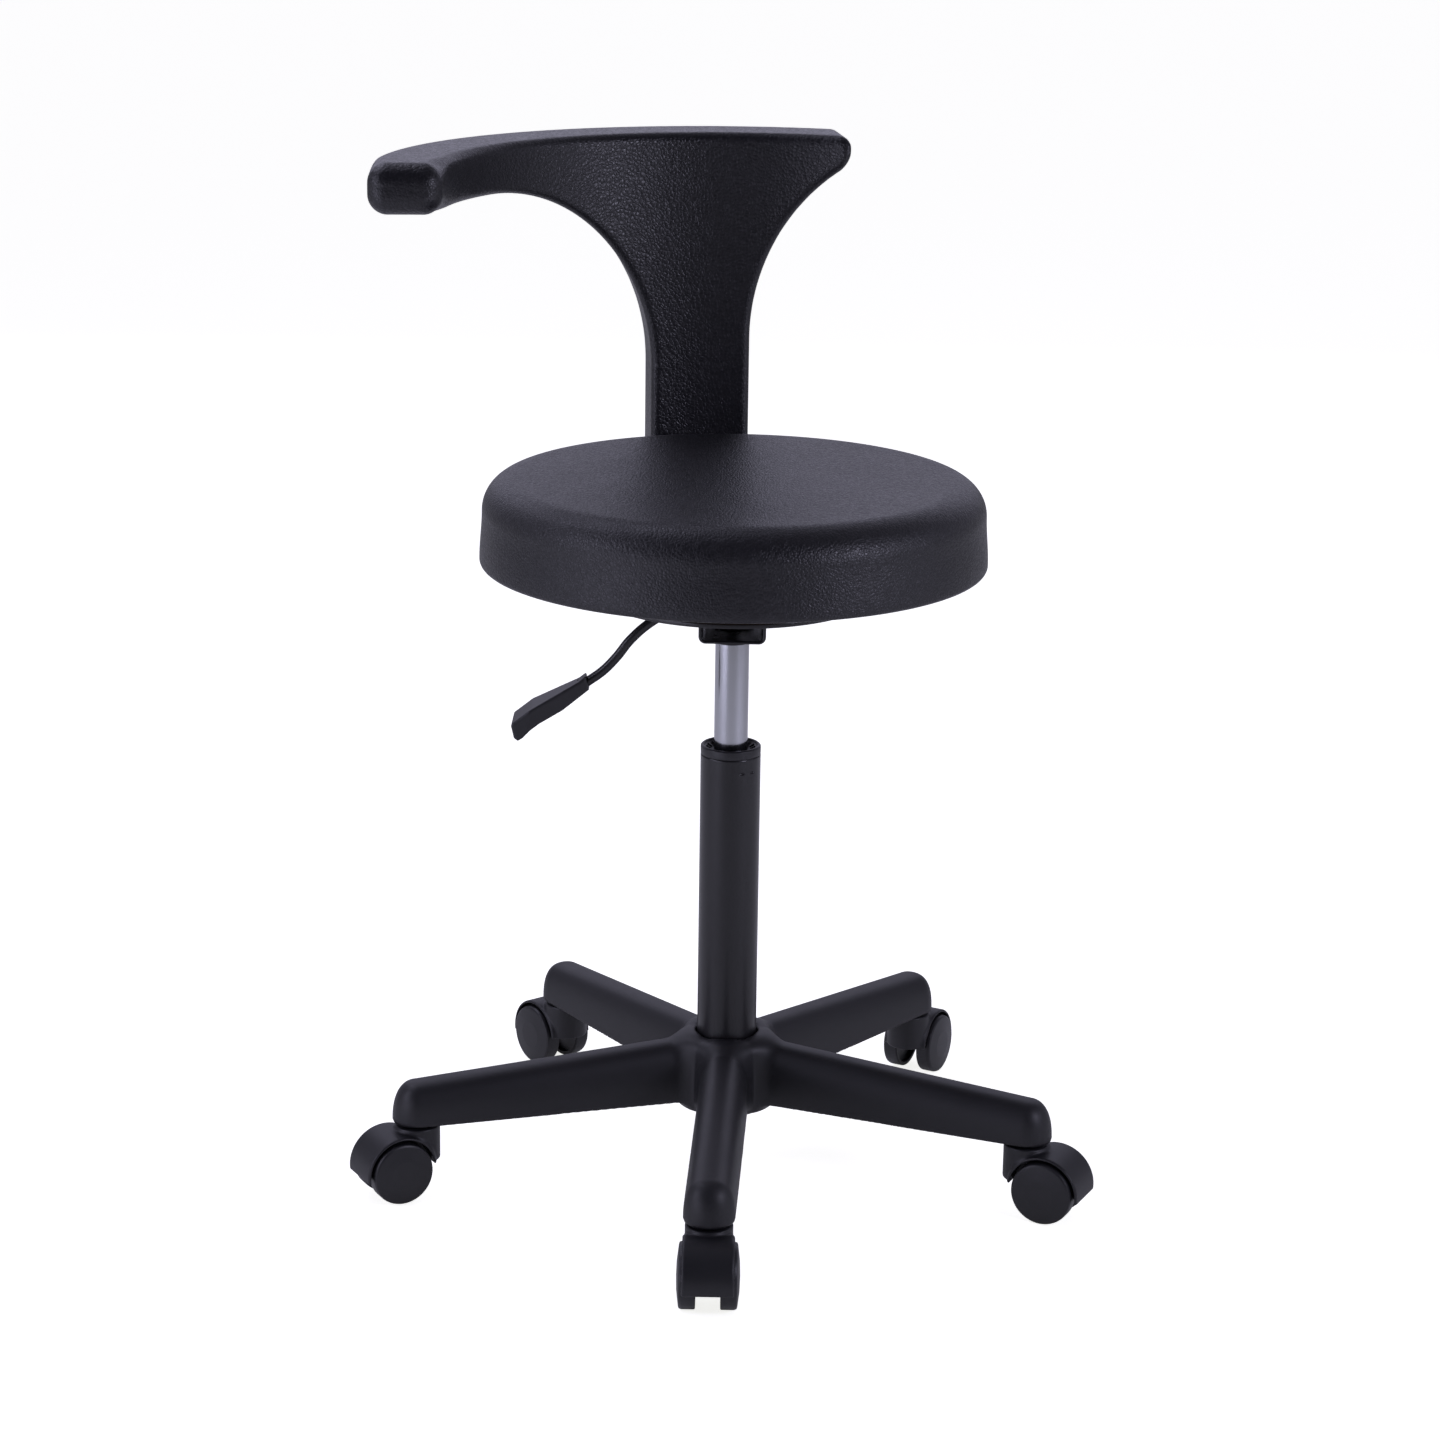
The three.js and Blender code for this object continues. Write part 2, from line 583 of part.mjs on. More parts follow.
// ---------------------------------------------------------------- backrest bar
const padFoot = boardFoot + PAD_ABOVE_BOARD;
const padTop = padFoot + PAD_HEIGHT;
const armFoot = padTop - ARM_HEIGHT;
const wingCurveFoot = padTop - WING_HEIGHT;
const barFoot = webTop + GAP;
const barUpright = (PAD_INNER + PAD_OUTER) / 2; // radius of the upright's middle
function barOutline(grow) {
  const outer = barUpright + BAR_THICK / 2 + grow;
  const inner = barUpright - BAR_THICK / 2 - grow;
  const low = barFoot - grow;
  const high = barFoot + BAR_THICK + grow;
  const top = padTop - BAR_BELOW_PAD_TOP + grow;
  const outerBend = BAR_BEND + BAR_THICK + grow;
  const innerBend = BAR_BEND - grow;
  const shape = new THREE.Shape();
  shape.moveTo(BAR_START, low);
  shape.lineTo(outer - outerBend, low);
  shape.absarc(outer - outerBend, low + outerBend, outerBend, 1.5 * Math.PI, 2 * Math.PI);
  shape.lineTo(outer, top);
  shape.lineTo(inner, top);
  shape.lineTo(inner, high + innerBend);
  shape.absarc(inner - innerBend, high + innerBend, innerBend, 2 * Math.PI, 1.5 * Math.PI, true);
  shape.lineTo(BAR_START, high);
  return shape;
}
const barSolid = (grow) =>
  turnedTo(slab(barOutline(grow), -BAR_WIDTH / 2 - grow, BAR_WIDTH / 2 + grow, 6), BACK_DEG);
add("backrest_bar", drilled(barSolid(0), backBoltPlaces, barFoot - 1, barFoot + BAR_THICK + 1),
  BLACK_STEEL);

// A hexagon-head bolt whose shank runs from z = low to high, with the head at one end.
function bolt(low, high, headUp) {
  const shank = ring(0, BOLT_SHANK, low, high, 12);
  const head = headUp
    ? ring(0, BOLT_HEAD, high - GAP, high + BOLT_HEAD_HEIGHT, 6)
    : ring(0, BOLT_HEAD, low - BOLT_HEAD_HEIGHT, low + GAP, 6);
  return shank.add(head);
}
backBoltPlaces.forEach(([x, y], i) => {
  const body = bolt(webFoot - 1, barFoot + BAR_THICK + 2 * GAP, true);
  add(`backrest_bolt_${i + 1}`, shifted(body, x, y, 0), BRIGHT_STEEL);
});

// ---------------------------------------------------------------- backrest pad
// Seen along the stem's direction, the pad is a stem that sweeps out to a short wing on the right
// and to an arm on the left. It is cut from a ring about the column's axis, in which the arm runs.
function padOutline() {
  const armCorner = PAD_STEM_HALF + ARM_CURVE_WIDTH;
  const beyond = PAD_OUTER + 20;
  const wingCentreX = PAD_STEM_HALF + WING_CURVE;
  // The sweep ends where the wing's lower corner, a small arc, touches it.
  const cornerX = WING_END - WING_LOW_CORNER;
  const reach = WING_CURVE + WING_LOW_CORNER;
  const cornerZ = wingCurveFoot + Math.sqrt(reach ** 2 - (wingCentreX - cornerX) ** 2);
  const sweepEnd = Math.atan2(cornerZ - wingCurveFoot, cornerX - wingCentreX);
  const shape = new THREE.Shape();
  shape.moveTo(-PAD_STEM_HALF, padFoot);
  shape.lineTo(PAD_STEM_HALF, padFoot);
  shape.lineTo(PAD_STEM_HALF, wingCurveFoot);
  shape.absarc(wingCentreX, wingCurveFoot, WING_CURVE, Math.PI, sweepEnd, true);
  shape.absarc(cornerX, cornerZ, WING_LOW_CORNER, sweepEnd - Math.PI, 0);
  shape.absarc(WING_END - WING_TOP_CORNER, padTop - WING_TOP_CORNER, WING_TOP_CORNER, 0, Math.PI / 2);
  shape.lineTo(-beyond, padTop);
  shape.lineTo(-beyond, armFoot);
  shape.absellipse(
    -armCorner, armFoot - ARM_CURVE_HEIGHT, ARM_CURVE_WIDTH, ARM_CURVE_HEIGHT,
    Math.PI / 2, 0, true,
  );
  return shape;
}

// A block of the ring between two directions, as a flat outline raised from low to high.
function ringBlock(inner, outer, fromDeg, toDeg, low, high, curveSegments) {
  const shape = new THREE.Shape();
  shape.absarc(0, 0, outer, rad(fromDeg), rad(toDeg));
  shape.absarc(0, 0, inner, rad(toDeg), rad(fromDeg), true);
  const geometry = new THREE.ExtrudeGeometry(shape, {
    depth: high - low,
    bevelEnabled: false,
    curveSegments,
  });
  return solid(geometry.translate(0, 0, low));
}

function backrestPad() {
  const ringPart = ringBlock(PAD_INNER, PAD_OUTER, 50, ARM_END_DEG, padFoot - 1, padTop + 1, 26);
  // The outline lies across the stem's direction: its right is the sitter's side seen from the front.
  const front = slab(padOutline(), -PAD_OUTER, PAD_OUTER * 1.2, 12);
  const across = turnedTo(front, BACK_DEG - 90);
  return ringPart.intersect(across).subtract(barSolid(GAP));
}
add("backrest_pad", backrestPad(), SKIN);

// ---------------------------------------------------------------- seat
const boardTop = boardFoot + BOARD_THICK;
const seatFoot = boardFoot - SEAT_LIP;
const seatTop = seatFoot + SEAT_HEIGHT;
const shoulderRadius = SEAT_RADIUS - SEAT_DRAFT;
seatBoltPlaces.forEach(([x, y], i) => {
  const body = bolt(PLATE_FOOT - GAP, boardTop - 1, false);
  add(`seat_bolt_${i + 1}`, shifted(body, x, y, 0), BRIGHT_STEEL);
});
const hubRecess = ring(0, SWING_HUB_RADIUS + 1, boardFoot - 1, boardFoot + HUB_RECESS, 36);
add("seat_board", drilled(
  ring(0, BOARD_RADIUS, boardFoot, boardTop, 48).subtract(hubRecess),
  seatBoltPlaces, boardFoot - 1, boardTop + 1,
), WOOD);

function seatCushion() {
  const profile = [
    [0, boardTop + GAP],
    [BOARD_RADIUS + GAP, boardTop + GAP],
    [BOARD_RADIUS + GAP, seatFoot + 1],
    [BOARD_RADIUS + 1 + GAP, seatFoot],
    [SEAT_RADIUS - SEAT_FOOT_EDGE, seatFoot],
    [SEAT_RADIUS, seatFoot + SEAT_FOOT_EDGE],
  ];
  const edgeSteps = 6;
  for (let i = 0; i <= edgeSteps; i++) {
    const angle = (Math.PI / 2) * (i / edgeSteps);
    profile.push([
      shoulderRadius - SEAT_EDGE * (1 - Math.cos(angle)),
      seatTop - SEAT_EDGE * (1 - Math.sin(angle)),
    ]);
  }
  profile.push([(shoulderRadius - SEAT_EDGE) * 0.5, seatTop - SEAT_DISH * 0.75]);
  profile.push([0, seatTop - SEAT_DISH]);
  return turned(profile, 48);
}
add("seat_cushion", seatCushion(), SKIN);

// ---------------------------------------------------------------- lever
const leverPoint = ([x, rise]) => new THREE.Vector3(x, 0, LEVER_HEIGHT + rise);
function rodSolid(radius) {
  const path = new THREE.CatmullRomCurve3(LEVER_ROUTE.map(leverPoint), false, "centripetal");
  const section = new THREE.Shape().absarc(0, 0, radius, 0, 2 * Math.PI);
  return solid(new THREE.ExtrudeGeometry(section, {
    steps: 22,
    curveSegments: 4,
    extrudePath: path,
  }));
}
add("lever_rod", rodSolid(LEVER_ROD_RADIUS), BLACK_STEEL);

function leverGrip() {
  const outline = new THREE.Shape(
    GRIP_PROFILE.map(([x, rise]) => new THREE.Vector2(x, LEVER_HEIGHT + rise)),
  );
  const geometry = new THREE.ExtrudeGeometry(outline, { depth: 2, bevelEnabled: false })
    .rotateX(Math.PI / 2)
    .translate(0, 1, 0);
  const position = geometry.attributes.position;
  for (let i = 0; i < position.count; i++) {
    const share = THREE.MathUtils.clamp(
      (position.getX(i) - GRIP_ROOT_X) / (GRIP_KINK_X - GRIP_ROOT_X), 0, 1,
    );
    position.setY(i, position.getY(i) * THREE.MathUtils.lerp(GRIP_HALF_ROOT, GRIP_HALF_TIP, share));
  }
  return solid(geometry).subtract(rodSolid(LEVER_ROD_RADIUS + GAP));
}
add("lever_grip", leverGrip(), NYLON);

const leverPivotX = -channelHalf + CHANNEL_WALL / 2;
function leverBush() {
  const half = LEVER_BUSH_WIDTH / 2;
  const profile = [
    [LEVER_ROD_RADIUS + GAP, -half],
    [LEVER_BUSH_RADIUS - 1, -half],
    [LEVER_BUSH_RADIUS, -half + 1.4],
    [LEVER_BUSH_RADIUS, half - 1.4],
    [LEVER_BUSH_RADIUS - 1, half],
    [LEVER_ROD_RADIUS + GAP, half],
  ];
  const alongX = placed(turned(profile, 20), new THREE.Matrix4().makeRotationY(Math.PI / 2));
  return shifted(alongX, leverPivotX, 0, LEVER_HEIGHT);
}
add("lever_bush", leverBush(), WHITE_NYLON);

// ---------------------------------------------------------------- castors
// In a castor's own frame, the stem stands on Z, and the castor trails along +X.
function castorHood() {
  const disc = (radius, from, to, segments) =>
    shifted(laidAlongY(ring(0, radius, from, to, segments)), TRAIL, 0, WHEEL_RADIUS);
  const collar = ring(0, COLLAR_RADIUS, HOOD_FRONT_FOOT - 8, COLLAR_TOP, 28);
  const sides = box([-COLLAR_RADIUS, -HOOD_HALF, 0], [TRAIL + FENDER_OUTER, HOOD_HALF, COLLAR_TOP + 5]);
  let hood = disc(FENDER_OUTER, -HOOD_HALF, HOOD_HALF, 34).add(collar.intersect(sides));
  // The lower edge rises from the back to the front.
  const back = TRAIL + FENDER_OUTER + 5;
  const front = -COLLAR_RADIUS - 5;
  const below = new THREE.Shape();
  below.moveTo(front, -10);
  below.lineTo(back, -10);
  below.lineTo(back, HOOD_BACK_FOOT);
  below.lineTo(TRAIL, HOOD_BACK_FOOT);
  below.lineTo(TRAIL - FENDER_OUTER, HOOD_FRONT_FOOT);
  below.lineTo(front, HOOD_FRONT_FOOT);
  hood = hood.subtract(slab(below, -HOOD_HALF - 5, HOOD_HALF + 5));
  hood = hood.subtract(disc(FENDER_INNER, WEB_HALF, HOOD_HALF + 5, 32));
  hood = hood.subtract(disc(FENDER_INNER, -HOOD_HALF - 5, -WEB_HALF, 32));
  hood = hood.add(disc(AXLE_BOSS, -WEB_HALF, WEB_HALF, 16));
  hood = hood.subtract(disc(AXLE_RADIUS + GAP, -HOOD_HALF, HOOD_HALF, 12));
  return hood.subtract(ring(0, STEM_RADIUS + RUNNING, STEM_FOOT - GAP, COLLAR_TOP + 5, 14));
}

function castorStem() {
  return turned([
    [0, STEM_FOOT],
    [STEM_RADIUS, STEM_FOOT],
    [STEM_RADIUS, COLLAR_TOP + GAP],
    [STEM_COLLAR, COLLAR_TOP + GAP],
    [STEM_COLLAR, LEG_FOOT - GAP],
    [STEM_RADIUS, LEG_FOOT - GAP],
    [STEM_RADIUS, STEM_TOP - 1.5],
    [STEM_RADIUS - 1.5, STEM_TOP],
    [0, STEM_TOP],
  ], 14);
}

// A wheel about Z, its outer face up.
function castorWheel() {
  const bore = AXLE_RADIUS + RUNNING;
  return turned([
    [0, AXLE_HALF + GAP],
    [bore, AXLE_HALF + GAP],
    [bore, WHEEL_INNER],
    [bore + 3, WHEEL_INNER],
    [bore + 3, WHEEL_INNER + 5],
    [WHEEL_RADIUS - 3.5, WHEEL_INNER + 5],
    [WHEEL_RADIUS - 3.5, WHEEL_INNER],
    [WHEEL_RADIUS, WHEEL_INNER],
    [WHEEL_RADIUS, WHEEL_RIM - 1.5],
    [WHEEL_RADIUS - 1.5, WHEEL_RIM],
    [0, WHEEL_DOME],
  ], 26);
}

const hoodShape = castorHood();
const stemShape = castorStem();
const axleShape = laidAlongY(ring(0, AXLE_RADIUS, -AXLE_HALF, AXLE_HALF, 12));
const rightWheel = laidAlongY(castorWheel());
const leftWheel = placed(rightWheel, new THREE.Matrix4().makeRotationZ(Math.PI));
for (let i = 0; i < LEG_COUNT; i++) {
  const castor = new THREE.Group();
  castor.position.set(
    CASTOR_CIRCLE * Math.cos(rad(legDeg(i))),
    CASTOR_CIRCLE * Math.sin(rad(legDeg(i))),
    0,
  );
  castor.rotation.z = rad(CASTOR_TRAIL_DEG[i]);
  const number = i + 1;
  add(`castor_stem_${number}`, stemShape, BRIGHT_STEEL, castor);
  add(`castor_hood_${number}`, hoodShape, NYLON, castor);
  add(`castor_axle_${number}`, shifted(axleShape, TRAIL, 0, WHEEL_RADIUS), BRIGHT_STEEL, castor);
  add(`castor_wheel_left_${number}`, shifted(leftWheel, TRAIL, 0, WHEEL_RADIUS), WHEEL_PLASTIC, castor);
  add(`castor_wheel_right_${number}`, shifted(rightWheel, TRAIL, 0, WHEEL_RADIUS), WHEEL_PLASTIC, castor);
  stool.add(castor);
}

export default stool;
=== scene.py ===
import itertools
import json
import math

import bmesh
import bpy
import numpy as np
from mathutils import Matrix, Vector


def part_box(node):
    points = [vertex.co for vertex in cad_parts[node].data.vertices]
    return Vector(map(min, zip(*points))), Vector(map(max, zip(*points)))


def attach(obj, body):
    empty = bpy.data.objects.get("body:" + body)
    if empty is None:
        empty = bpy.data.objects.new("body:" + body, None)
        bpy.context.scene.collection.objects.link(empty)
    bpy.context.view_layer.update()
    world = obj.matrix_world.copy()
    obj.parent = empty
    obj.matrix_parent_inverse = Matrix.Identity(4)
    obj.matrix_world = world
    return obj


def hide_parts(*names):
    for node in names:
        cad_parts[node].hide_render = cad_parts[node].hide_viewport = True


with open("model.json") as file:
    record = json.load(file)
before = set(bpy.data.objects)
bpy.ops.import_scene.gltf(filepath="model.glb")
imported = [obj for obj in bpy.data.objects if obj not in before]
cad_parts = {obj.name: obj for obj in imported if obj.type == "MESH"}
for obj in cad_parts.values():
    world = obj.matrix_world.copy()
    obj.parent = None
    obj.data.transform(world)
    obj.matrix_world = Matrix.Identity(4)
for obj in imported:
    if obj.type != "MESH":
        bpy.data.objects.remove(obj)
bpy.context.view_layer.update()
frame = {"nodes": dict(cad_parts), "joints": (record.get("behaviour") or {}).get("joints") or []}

# The stool's looks. Lengths in the shape functions are in millimetres, with the origin on the
# floor under the column, as in the frame. The front faces -Y; the lever is on the -X side.
MM = 0.001
JOINTS = {joint["name"]: joint for joint in frame["joints"]}
CASTORS = range(1, 6)


def low_of(node):
    return np.array(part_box(node)[0]) / MM


def high_of(node):
    return np.array(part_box(node)[1]) / MM


# ------------------------------------------------------------------ shape helpers
def span(*parts):
    """Distance from the origin of the given coordinates."""
    return np.sqrt(sum(part * part for part in parts))


def overlap(a, b, edge):
    """What two solids share, with the new edge rounded to a radius."""
    corner = np.sqrt(np.maximum(a + edge, 0) ** 2 + np.maximum(b + edge, 0) ** 2)
    return np.minimum(np.maximum(a, b), -edge) + corner


def joined(a, b, fillet):
    """Two solids as one, with a fillet where they meet."""
    return -overlap(-a, -b, fillet)


def less(a, b, edge):
    """The first solid without the second."""
    return overlap(a, -b, edge)


def ramp(value, start, end):
    share = np.clip((value - start) / (end - start), 0, 1)
    return share * share * (3 - 2 * share)


def skin_of(distance, low, high, cell):
    """The surface where a distance is 0, as points and quads: one point in each crossed cell,
    then moved onto the true surface."""
    low = np.array(low, float)
    counts = np.ceil((np.array(high, float) - low) / cell).astype(int) + 1
    x, y, z = [low[k] + cell * np.arange(counts[k]) for k in range(3)]
    field = np.empty(counts, np.float32)
    across, up = np.meshgrid(y, z, indexing="ij")
    for i, along in enumerate(x):
        sheet = np.stack([np.full(across.shape, along), across, up], -1).reshape(-1, 3)
        field[i] = distance(sheet).reshape(across.shape)
    inside = field < 0
    corners = list(itertools.product((0, 1), repeat=3))
    cells = counts - 1
    held = sum(
        inside[i:i + cells[0], j:j + cells[1], k:k + cells[2]].astype(np.uint8)
        for i, j, k in corners
    )
    crossed = (held > 0) & (held < 8)
    where = np.argwhere(crossed)
    number = np.full(cells, -1)
    number[crossed] = np.arange(len(where))
    value = {c: field[tuple((where + c).T)].astype(float) for c in corners}
    total = np.zeros((len(where), 3))
    hits = np.zeros(len(where))
    for a, b in itertools.combinations(corners, 2):
        if sum(abs(m - n) for m, n in zip(a, b)) != 1:
            continue
        hit = (value[a] < 0) != (value[b] < 0)
        share = value[a][hit] / (value[a][hit] - value[b][hit])
        total[hit] += np.array(a) + share[:, None] * (np.array(b) - np.array(a))
        hits[hit] += 1
    points = low + cell * (where + total / hits[:, None])

    quads = []
    for axis in range(3):
        u, v = (axis + 1) % 3, (axis + 2) % 3
        first, second = [slice(1, -1)] * 3, [slice(1, -1)] * 3
        first[axis], second[axis] = slice(0, -1), slice(1, None)
        at = np.argwhere(inside[tuple(first)] != inside[tuple(second)])
        at[:, u] += 1
        at[:, v] += 1
        corner_numbers = []
        for du, dv in ((-1, -1), (0, -1), (0, 0), (-1, 0)):
            cell_at = at.copy()
            cell_at[:, u] += du
            cell_at[:, v] += dv
            corner_numbers.append(number[tuple(cell_at.T)])
        ring = np.stack(corner_numbers, 1)
        backward = ~inside[tuple(at.T)]
        ring[backward] = ring[backward][:, ::-1]
        quads.append(ring)
    quads = np.concatenate(quads)

    def settled(points, rounds):
        for _ in range(rounds):
            off = distance(points)
            slope = np.stack([
                (distance(points + step) - distance(points - step)) / 0.1
                for step in np.eye(3) * 0.05
            ], 1)
            steep = np.maximum((slope * slope).sum(1), 0.2)
            move = np.clip(off / steep, -cell, cell)
            points = points - move[:, None] * slope
        return points

    points = settled(points, 3)
    sides = np.concatenate([quads[:, [k, (k + 1) % 4]] for k in range(4)])
    for _ in range(3):
        near = np.zeros_like(points)
        count = np.bincount(sides.ravel(), minlength=len(points)).astype(float)
        for k in range(3):
            near[:, k] = np.bincount(sides[:, 0], points[sides[:, 1], k], len(points))
            near[:, k] += np.bincount(sides[:, 1], points[sides[:, 0], k], len(points))
        points = settled(0.5 * points + 0.5 * near / count[:, None], 1)
    return settled(points, 2), quads


def mesh_piece(name, points, faces, finish, smooth=True):
    """A piece from points in millimetres and faces; a face is a list of point numbers."""
    mesh = bpy.data.meshes.new(name)
    points = np.asarray(points, float) * MM
    if isinstance(faces, np.ndarray):
        mesh.vertices.add(len(points))
        mesh.vertices.foreach_set("co", points.ravel())
        mesh.loops.add(faces.size)
        mesh.loops.foreach_set("vertex_index", faces.ravel())
        mesh.polygons.add(len(faces))
        mesh.polygons.foreach_set("loop_start", np.arange(len(faces)) * faces.shape[1])
        mesh.update(calc_edges=True)
    else:
        mesh.from_pydata(points.tolist(), [], faces)
    mesh.validate()
    mesh.polygons.foreach_set("use_smooth", np.full(len(mesh.polygons), smooth))
    mesh.materials.append(finish)
    piece = bpy.data.objects.new(name, mesh)
    bpy.context.scene.collection.objects.link(piece)
    return piece


def sharpened(piece, degrees=38):
    """Edges that turn more than an angle stay crisp."""
    shape = bmesh.new()
    shape.from_mesh(piece.data)
    for edge in shape.edges:
        edge.smooth = edge.calc_face_angle(0) < math.radians(degrees)
    shape.to_mesh(piece.data)
    shape.free()
    return piece


def eased(corners, closed):
    """A turned profile whose corners (radius, height, rounding) are rounded by short arcs."""
    out = []
    count = len(corners)
    for i, (r, z, rounding) in enumerate(corners):
        here = np.array([r, z], float)
        if rounding == 0 or (not closed and i in (0, count - 1)):
            out.append(here)
            continue
        before = np.array(corners[i - 1][:2], float) - here
        after = np.array(corners[(i + 1) % count][:2], float) - here
        steps = max(2, min(9, int(rounding * 2) + 2))
        b, a = before / span(*before), after / span(*after)
        half = math.acos(max(-1, min(1, float(b @ a)))) / 2
        cut = min(rounding / math.tan(half), 0.49 * span(*before), 0.49 * span(*after))
        start, end = here + b * cut, here + a * cut
        for k in range(steps + 1):
            t = k / steps
            out.append((1 - t) ** 2 * start + 2 * t * (1 - t) * here + t * t * end)
    return out


def faced_out(piece):
    """All faces of the piece point outwards."""
    shape = bmesh.new()
    shape.from_mesh(piece.data)
    bmesh.ops.recalc_face_normals(shape, faces=shape.faces)
    shape.to_mesh(piece.data)
    shape.free()
    return piece


def revolved(profile, segments, closed):
    """Points and faces of a profile of (radius, height) turned about the column's axis."""
    turn = 2 * math.pi * np.arange(segments) / segments
    points, faces, rows = [], [], []
    for r, z in profile:
        if r < 1e-6:
            rows.append([len(points)])
            points.append((0, 0, z))
        else:
            rows.append(list(range(len(points), len(points) + segments)))
            points.extend(zip(r * np.cos(turn), r * np.sin(turn), np.full(segments, z)))
    for one, two in zip(rows, rows[1:] + rows[:1] if closed else rows[1:]):
        for k in range(segments):
            m = (k + 1) % segments
            face = [one[k % len(one)], one[m % len(one)], two[m % len(two)], two[k % len(two)]]
            faces.append(list(dict.fromkeys(face)))
    return points, faces


def turned(name, corners, finish, segments=128, closed=True):
    """A turned piece about the column. A profile that isn't closed starts and ends on the axis."""
    points, faces = revolved(eased(corners, closed), segments, closed)
    return sharpened(faced_out(mesh_piece(name, points, faces, finish)))


def placed(piece, matrix):
    piece.data.transform(matrix)
    return piece


def stands_for(piece, body, slot, *nodes):
    """The piece rides on a body and stands for CAD nodes, which it hides; slot is not used."""
    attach(piece, body)
    if nodes:
        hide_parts(*nodes)
    return piece


# ------------------------------------------------------------------ finishes
class Wire:
    """A socket in a material; arithmetic on it adds Math nodes."""

    def __init__(self, paint, socket):
        self.paint = paint
        self.socket = socket

    def join(self, operation, first, second):
        return self.paint.node("Math", {"operation": operation}, [first, second])

    def __add__(self, other):
        return self.join("ADD", self, other)

    def __radd__(self, other):
        return self.join("ADD", other, self)

    def __sub__(self, other):
        return self.join("SUBTRACT", self, other)

    def __rsub__(self, other):
        return self.join("SUBTRACT", other, self)

    def __mul__(self, other):
        return self.join("MULTIPLY", self, other)

    def __rmul__(self, other):
        return self.join("MULTIPLY", other, self)


class Paint:
    """One material: a Principled surface and the nodes that vary it."""

    def __init__(self, name, **constants):
        self.material = bpy.data.materials.new(name)
        self.material.use_nodes = True
        self.tree = self.material.node_tree
        self.surface = self.tree.nodes["Principled BSDF"]
        for socket, value in constants.items():
            self.surface.inputs[socket.replace("_", " ")].default_value = value
        self.place = self.node("TexCoord", {}, [], "Object")

    def node(self, kind, settings, sockets, output=0):
        """Adds a node: its settings first, then the values or links of its sockets."""
        node = self.tree.nodes.new("ShaderNode" + kind)
        for setting, value in settings.items():
            setattr(node, setting, value)
        named = sockets.items() if isinstance(sockets, dict) else enumerate(sockets)
        for socket, value in named:
            if isinstance(value, Wire):
                self.tree.links.new(value.socket, node.inputs[socket])
            else:
                node.inputs[socket].default_value = value
        return Wire(self, node.outputs[output])

    def noise(self, size, detail=2.0, roughness=0.5, place=None):
        """Cloudy noise whose blobs are about size millimetres, from 0 to 1."""
        return self.node("TexNoise", {}, {
            "Vector": place or self.place, "Scale": 1 / (size * MM),
            "Detail": detail, "Roughness": roughness,
        })

    def cells(self, size, place, feature="F1"):
        """Distances in a pattern of cells about size millimetres across."""
        return self.node("TexVoronoi", {"feature": feature}, {
            "Vector": place, "Scale": 1 / (size * MM),
        }, "Distance")

    def steps(self, value, low, high):
        """0 below low, 1 above high, smooth between."""
        return self.node("MapRange", {"interpolation_type": "SMOOTHSTEP"}, {
            "Value": value, "From Min": low, "From Max": high,
        })

    def moved(self, size, reach):
        """The place, moved about by noise, for patterns that aren't regular."""
        drift = self.node("TexNoise", {}, {
            "Vector": self.place, "Scale": 1 / (size * MM), "Detail": 1.0,
        }, "Color")
        centred = self.node("VectorMath", {"operation": "SUBTRACT"}, [drift, (0.5, 0.5, 0.5)])
        scaled = self.node("VectorMath", {"operation": "SCALE"}, {0: centred, "Scale": reach * MM})
        return self.node("VectorMath", {"operation": "ADD"}, [self.place, scaled])

    def feed(self, socket, wire):
        """Links a value to a socket of the surface."""
        self.tree.links.new(wire.socket, self.surface.inputs[socket])

    def colour(self, mask, dark, light, socket="Base Color"):
        """A colour between dark and light, as the mask goes from 0 to 1."""
        mix = self.tree.nodes.new("ShaderNodeMix")
        mix.data_type = "RGBA"
        mix.inputs[6].default_value = (*dark, 1)
        mix.inputs[7].default_value = (*light, 1)
        self.tree.links.new(mask.socket, mix.inputs[0])
        self.tree.links.new(mix.outputs[2], self.surface.inputs[socket])

    def relief(self, height, depth):
        """Surface relief: height from 0 to 1, depth in millimetres."""
        self.feed("Normal", self.node("Bump", {}, {
            "Height": height, "Distance": depth * MM, "Strength": 1.0,
        }))


def skin_finish(name, cell, depth, rough):
    """Self-skinned foam: a leather-like pebble grain with fine creases between the pebbles."""
    paint = Paint(name, IOR=1.5)
    drifting = paint.moved(9, 3.2)
    pebble = paint.cells(cell, drifting, "SMOOTH_F1")
    crease = paint.cells(cell, drifting, "DISTANCE_TO_EDGE")
    broad = paint.noise(cell * 2.2, 3, 0.6)
    sheen = paint.steps(paint.noise(cell * 1.1, 1), 0.38, 0.62)
    dome = 1 - paint.steps(pebble, 0.0, 0.75)
    groove = paint.steps(crease, 0.0, 0.2)
    patch = paint.noise(38, 3)
    height = dome * 0.4 + groove * 0.35 + broad * 0.6
    paint.relief(height, depth)
    # Colour: darker in the creases between pebbles as painted shade, and varied in broad random
    # patches of tone.
    paint.colour(groove * 0.6 + patch * 0.4, (0.0062, 0.0060, 0.0078), (0.0125, 0.0122, 0.0155))
    paint.feed("Roughness", rough + patch * 0.05 + (1 - groove) * 0.10 + sheen * 0.07)
    return paint.material


def moulded_finish(name, dark, light, low, high, depth=0.03, grain_size=0.45):
    """Moulded plastic with a fine eroded texture and a faint flow variation."""
    paint = Paint(name, IOR=1.5)
    flow = paint.noise(30, 3)
    fine = paint.noise(grain_size, 3, 0.6)
    pits = paint.cells(grain_size * 1.6, paint.moved(3, 0.5))
    paint.relief(fine * 0.6 + pits * 0.4, depth)
    paint.colour(flow * 0.6 + fine * 0.4, dark, light)
    paint.feed("Roughness", low + flow * (high - low) * 0.6 + fine * (high - low) * 0.4)
    return paint.material


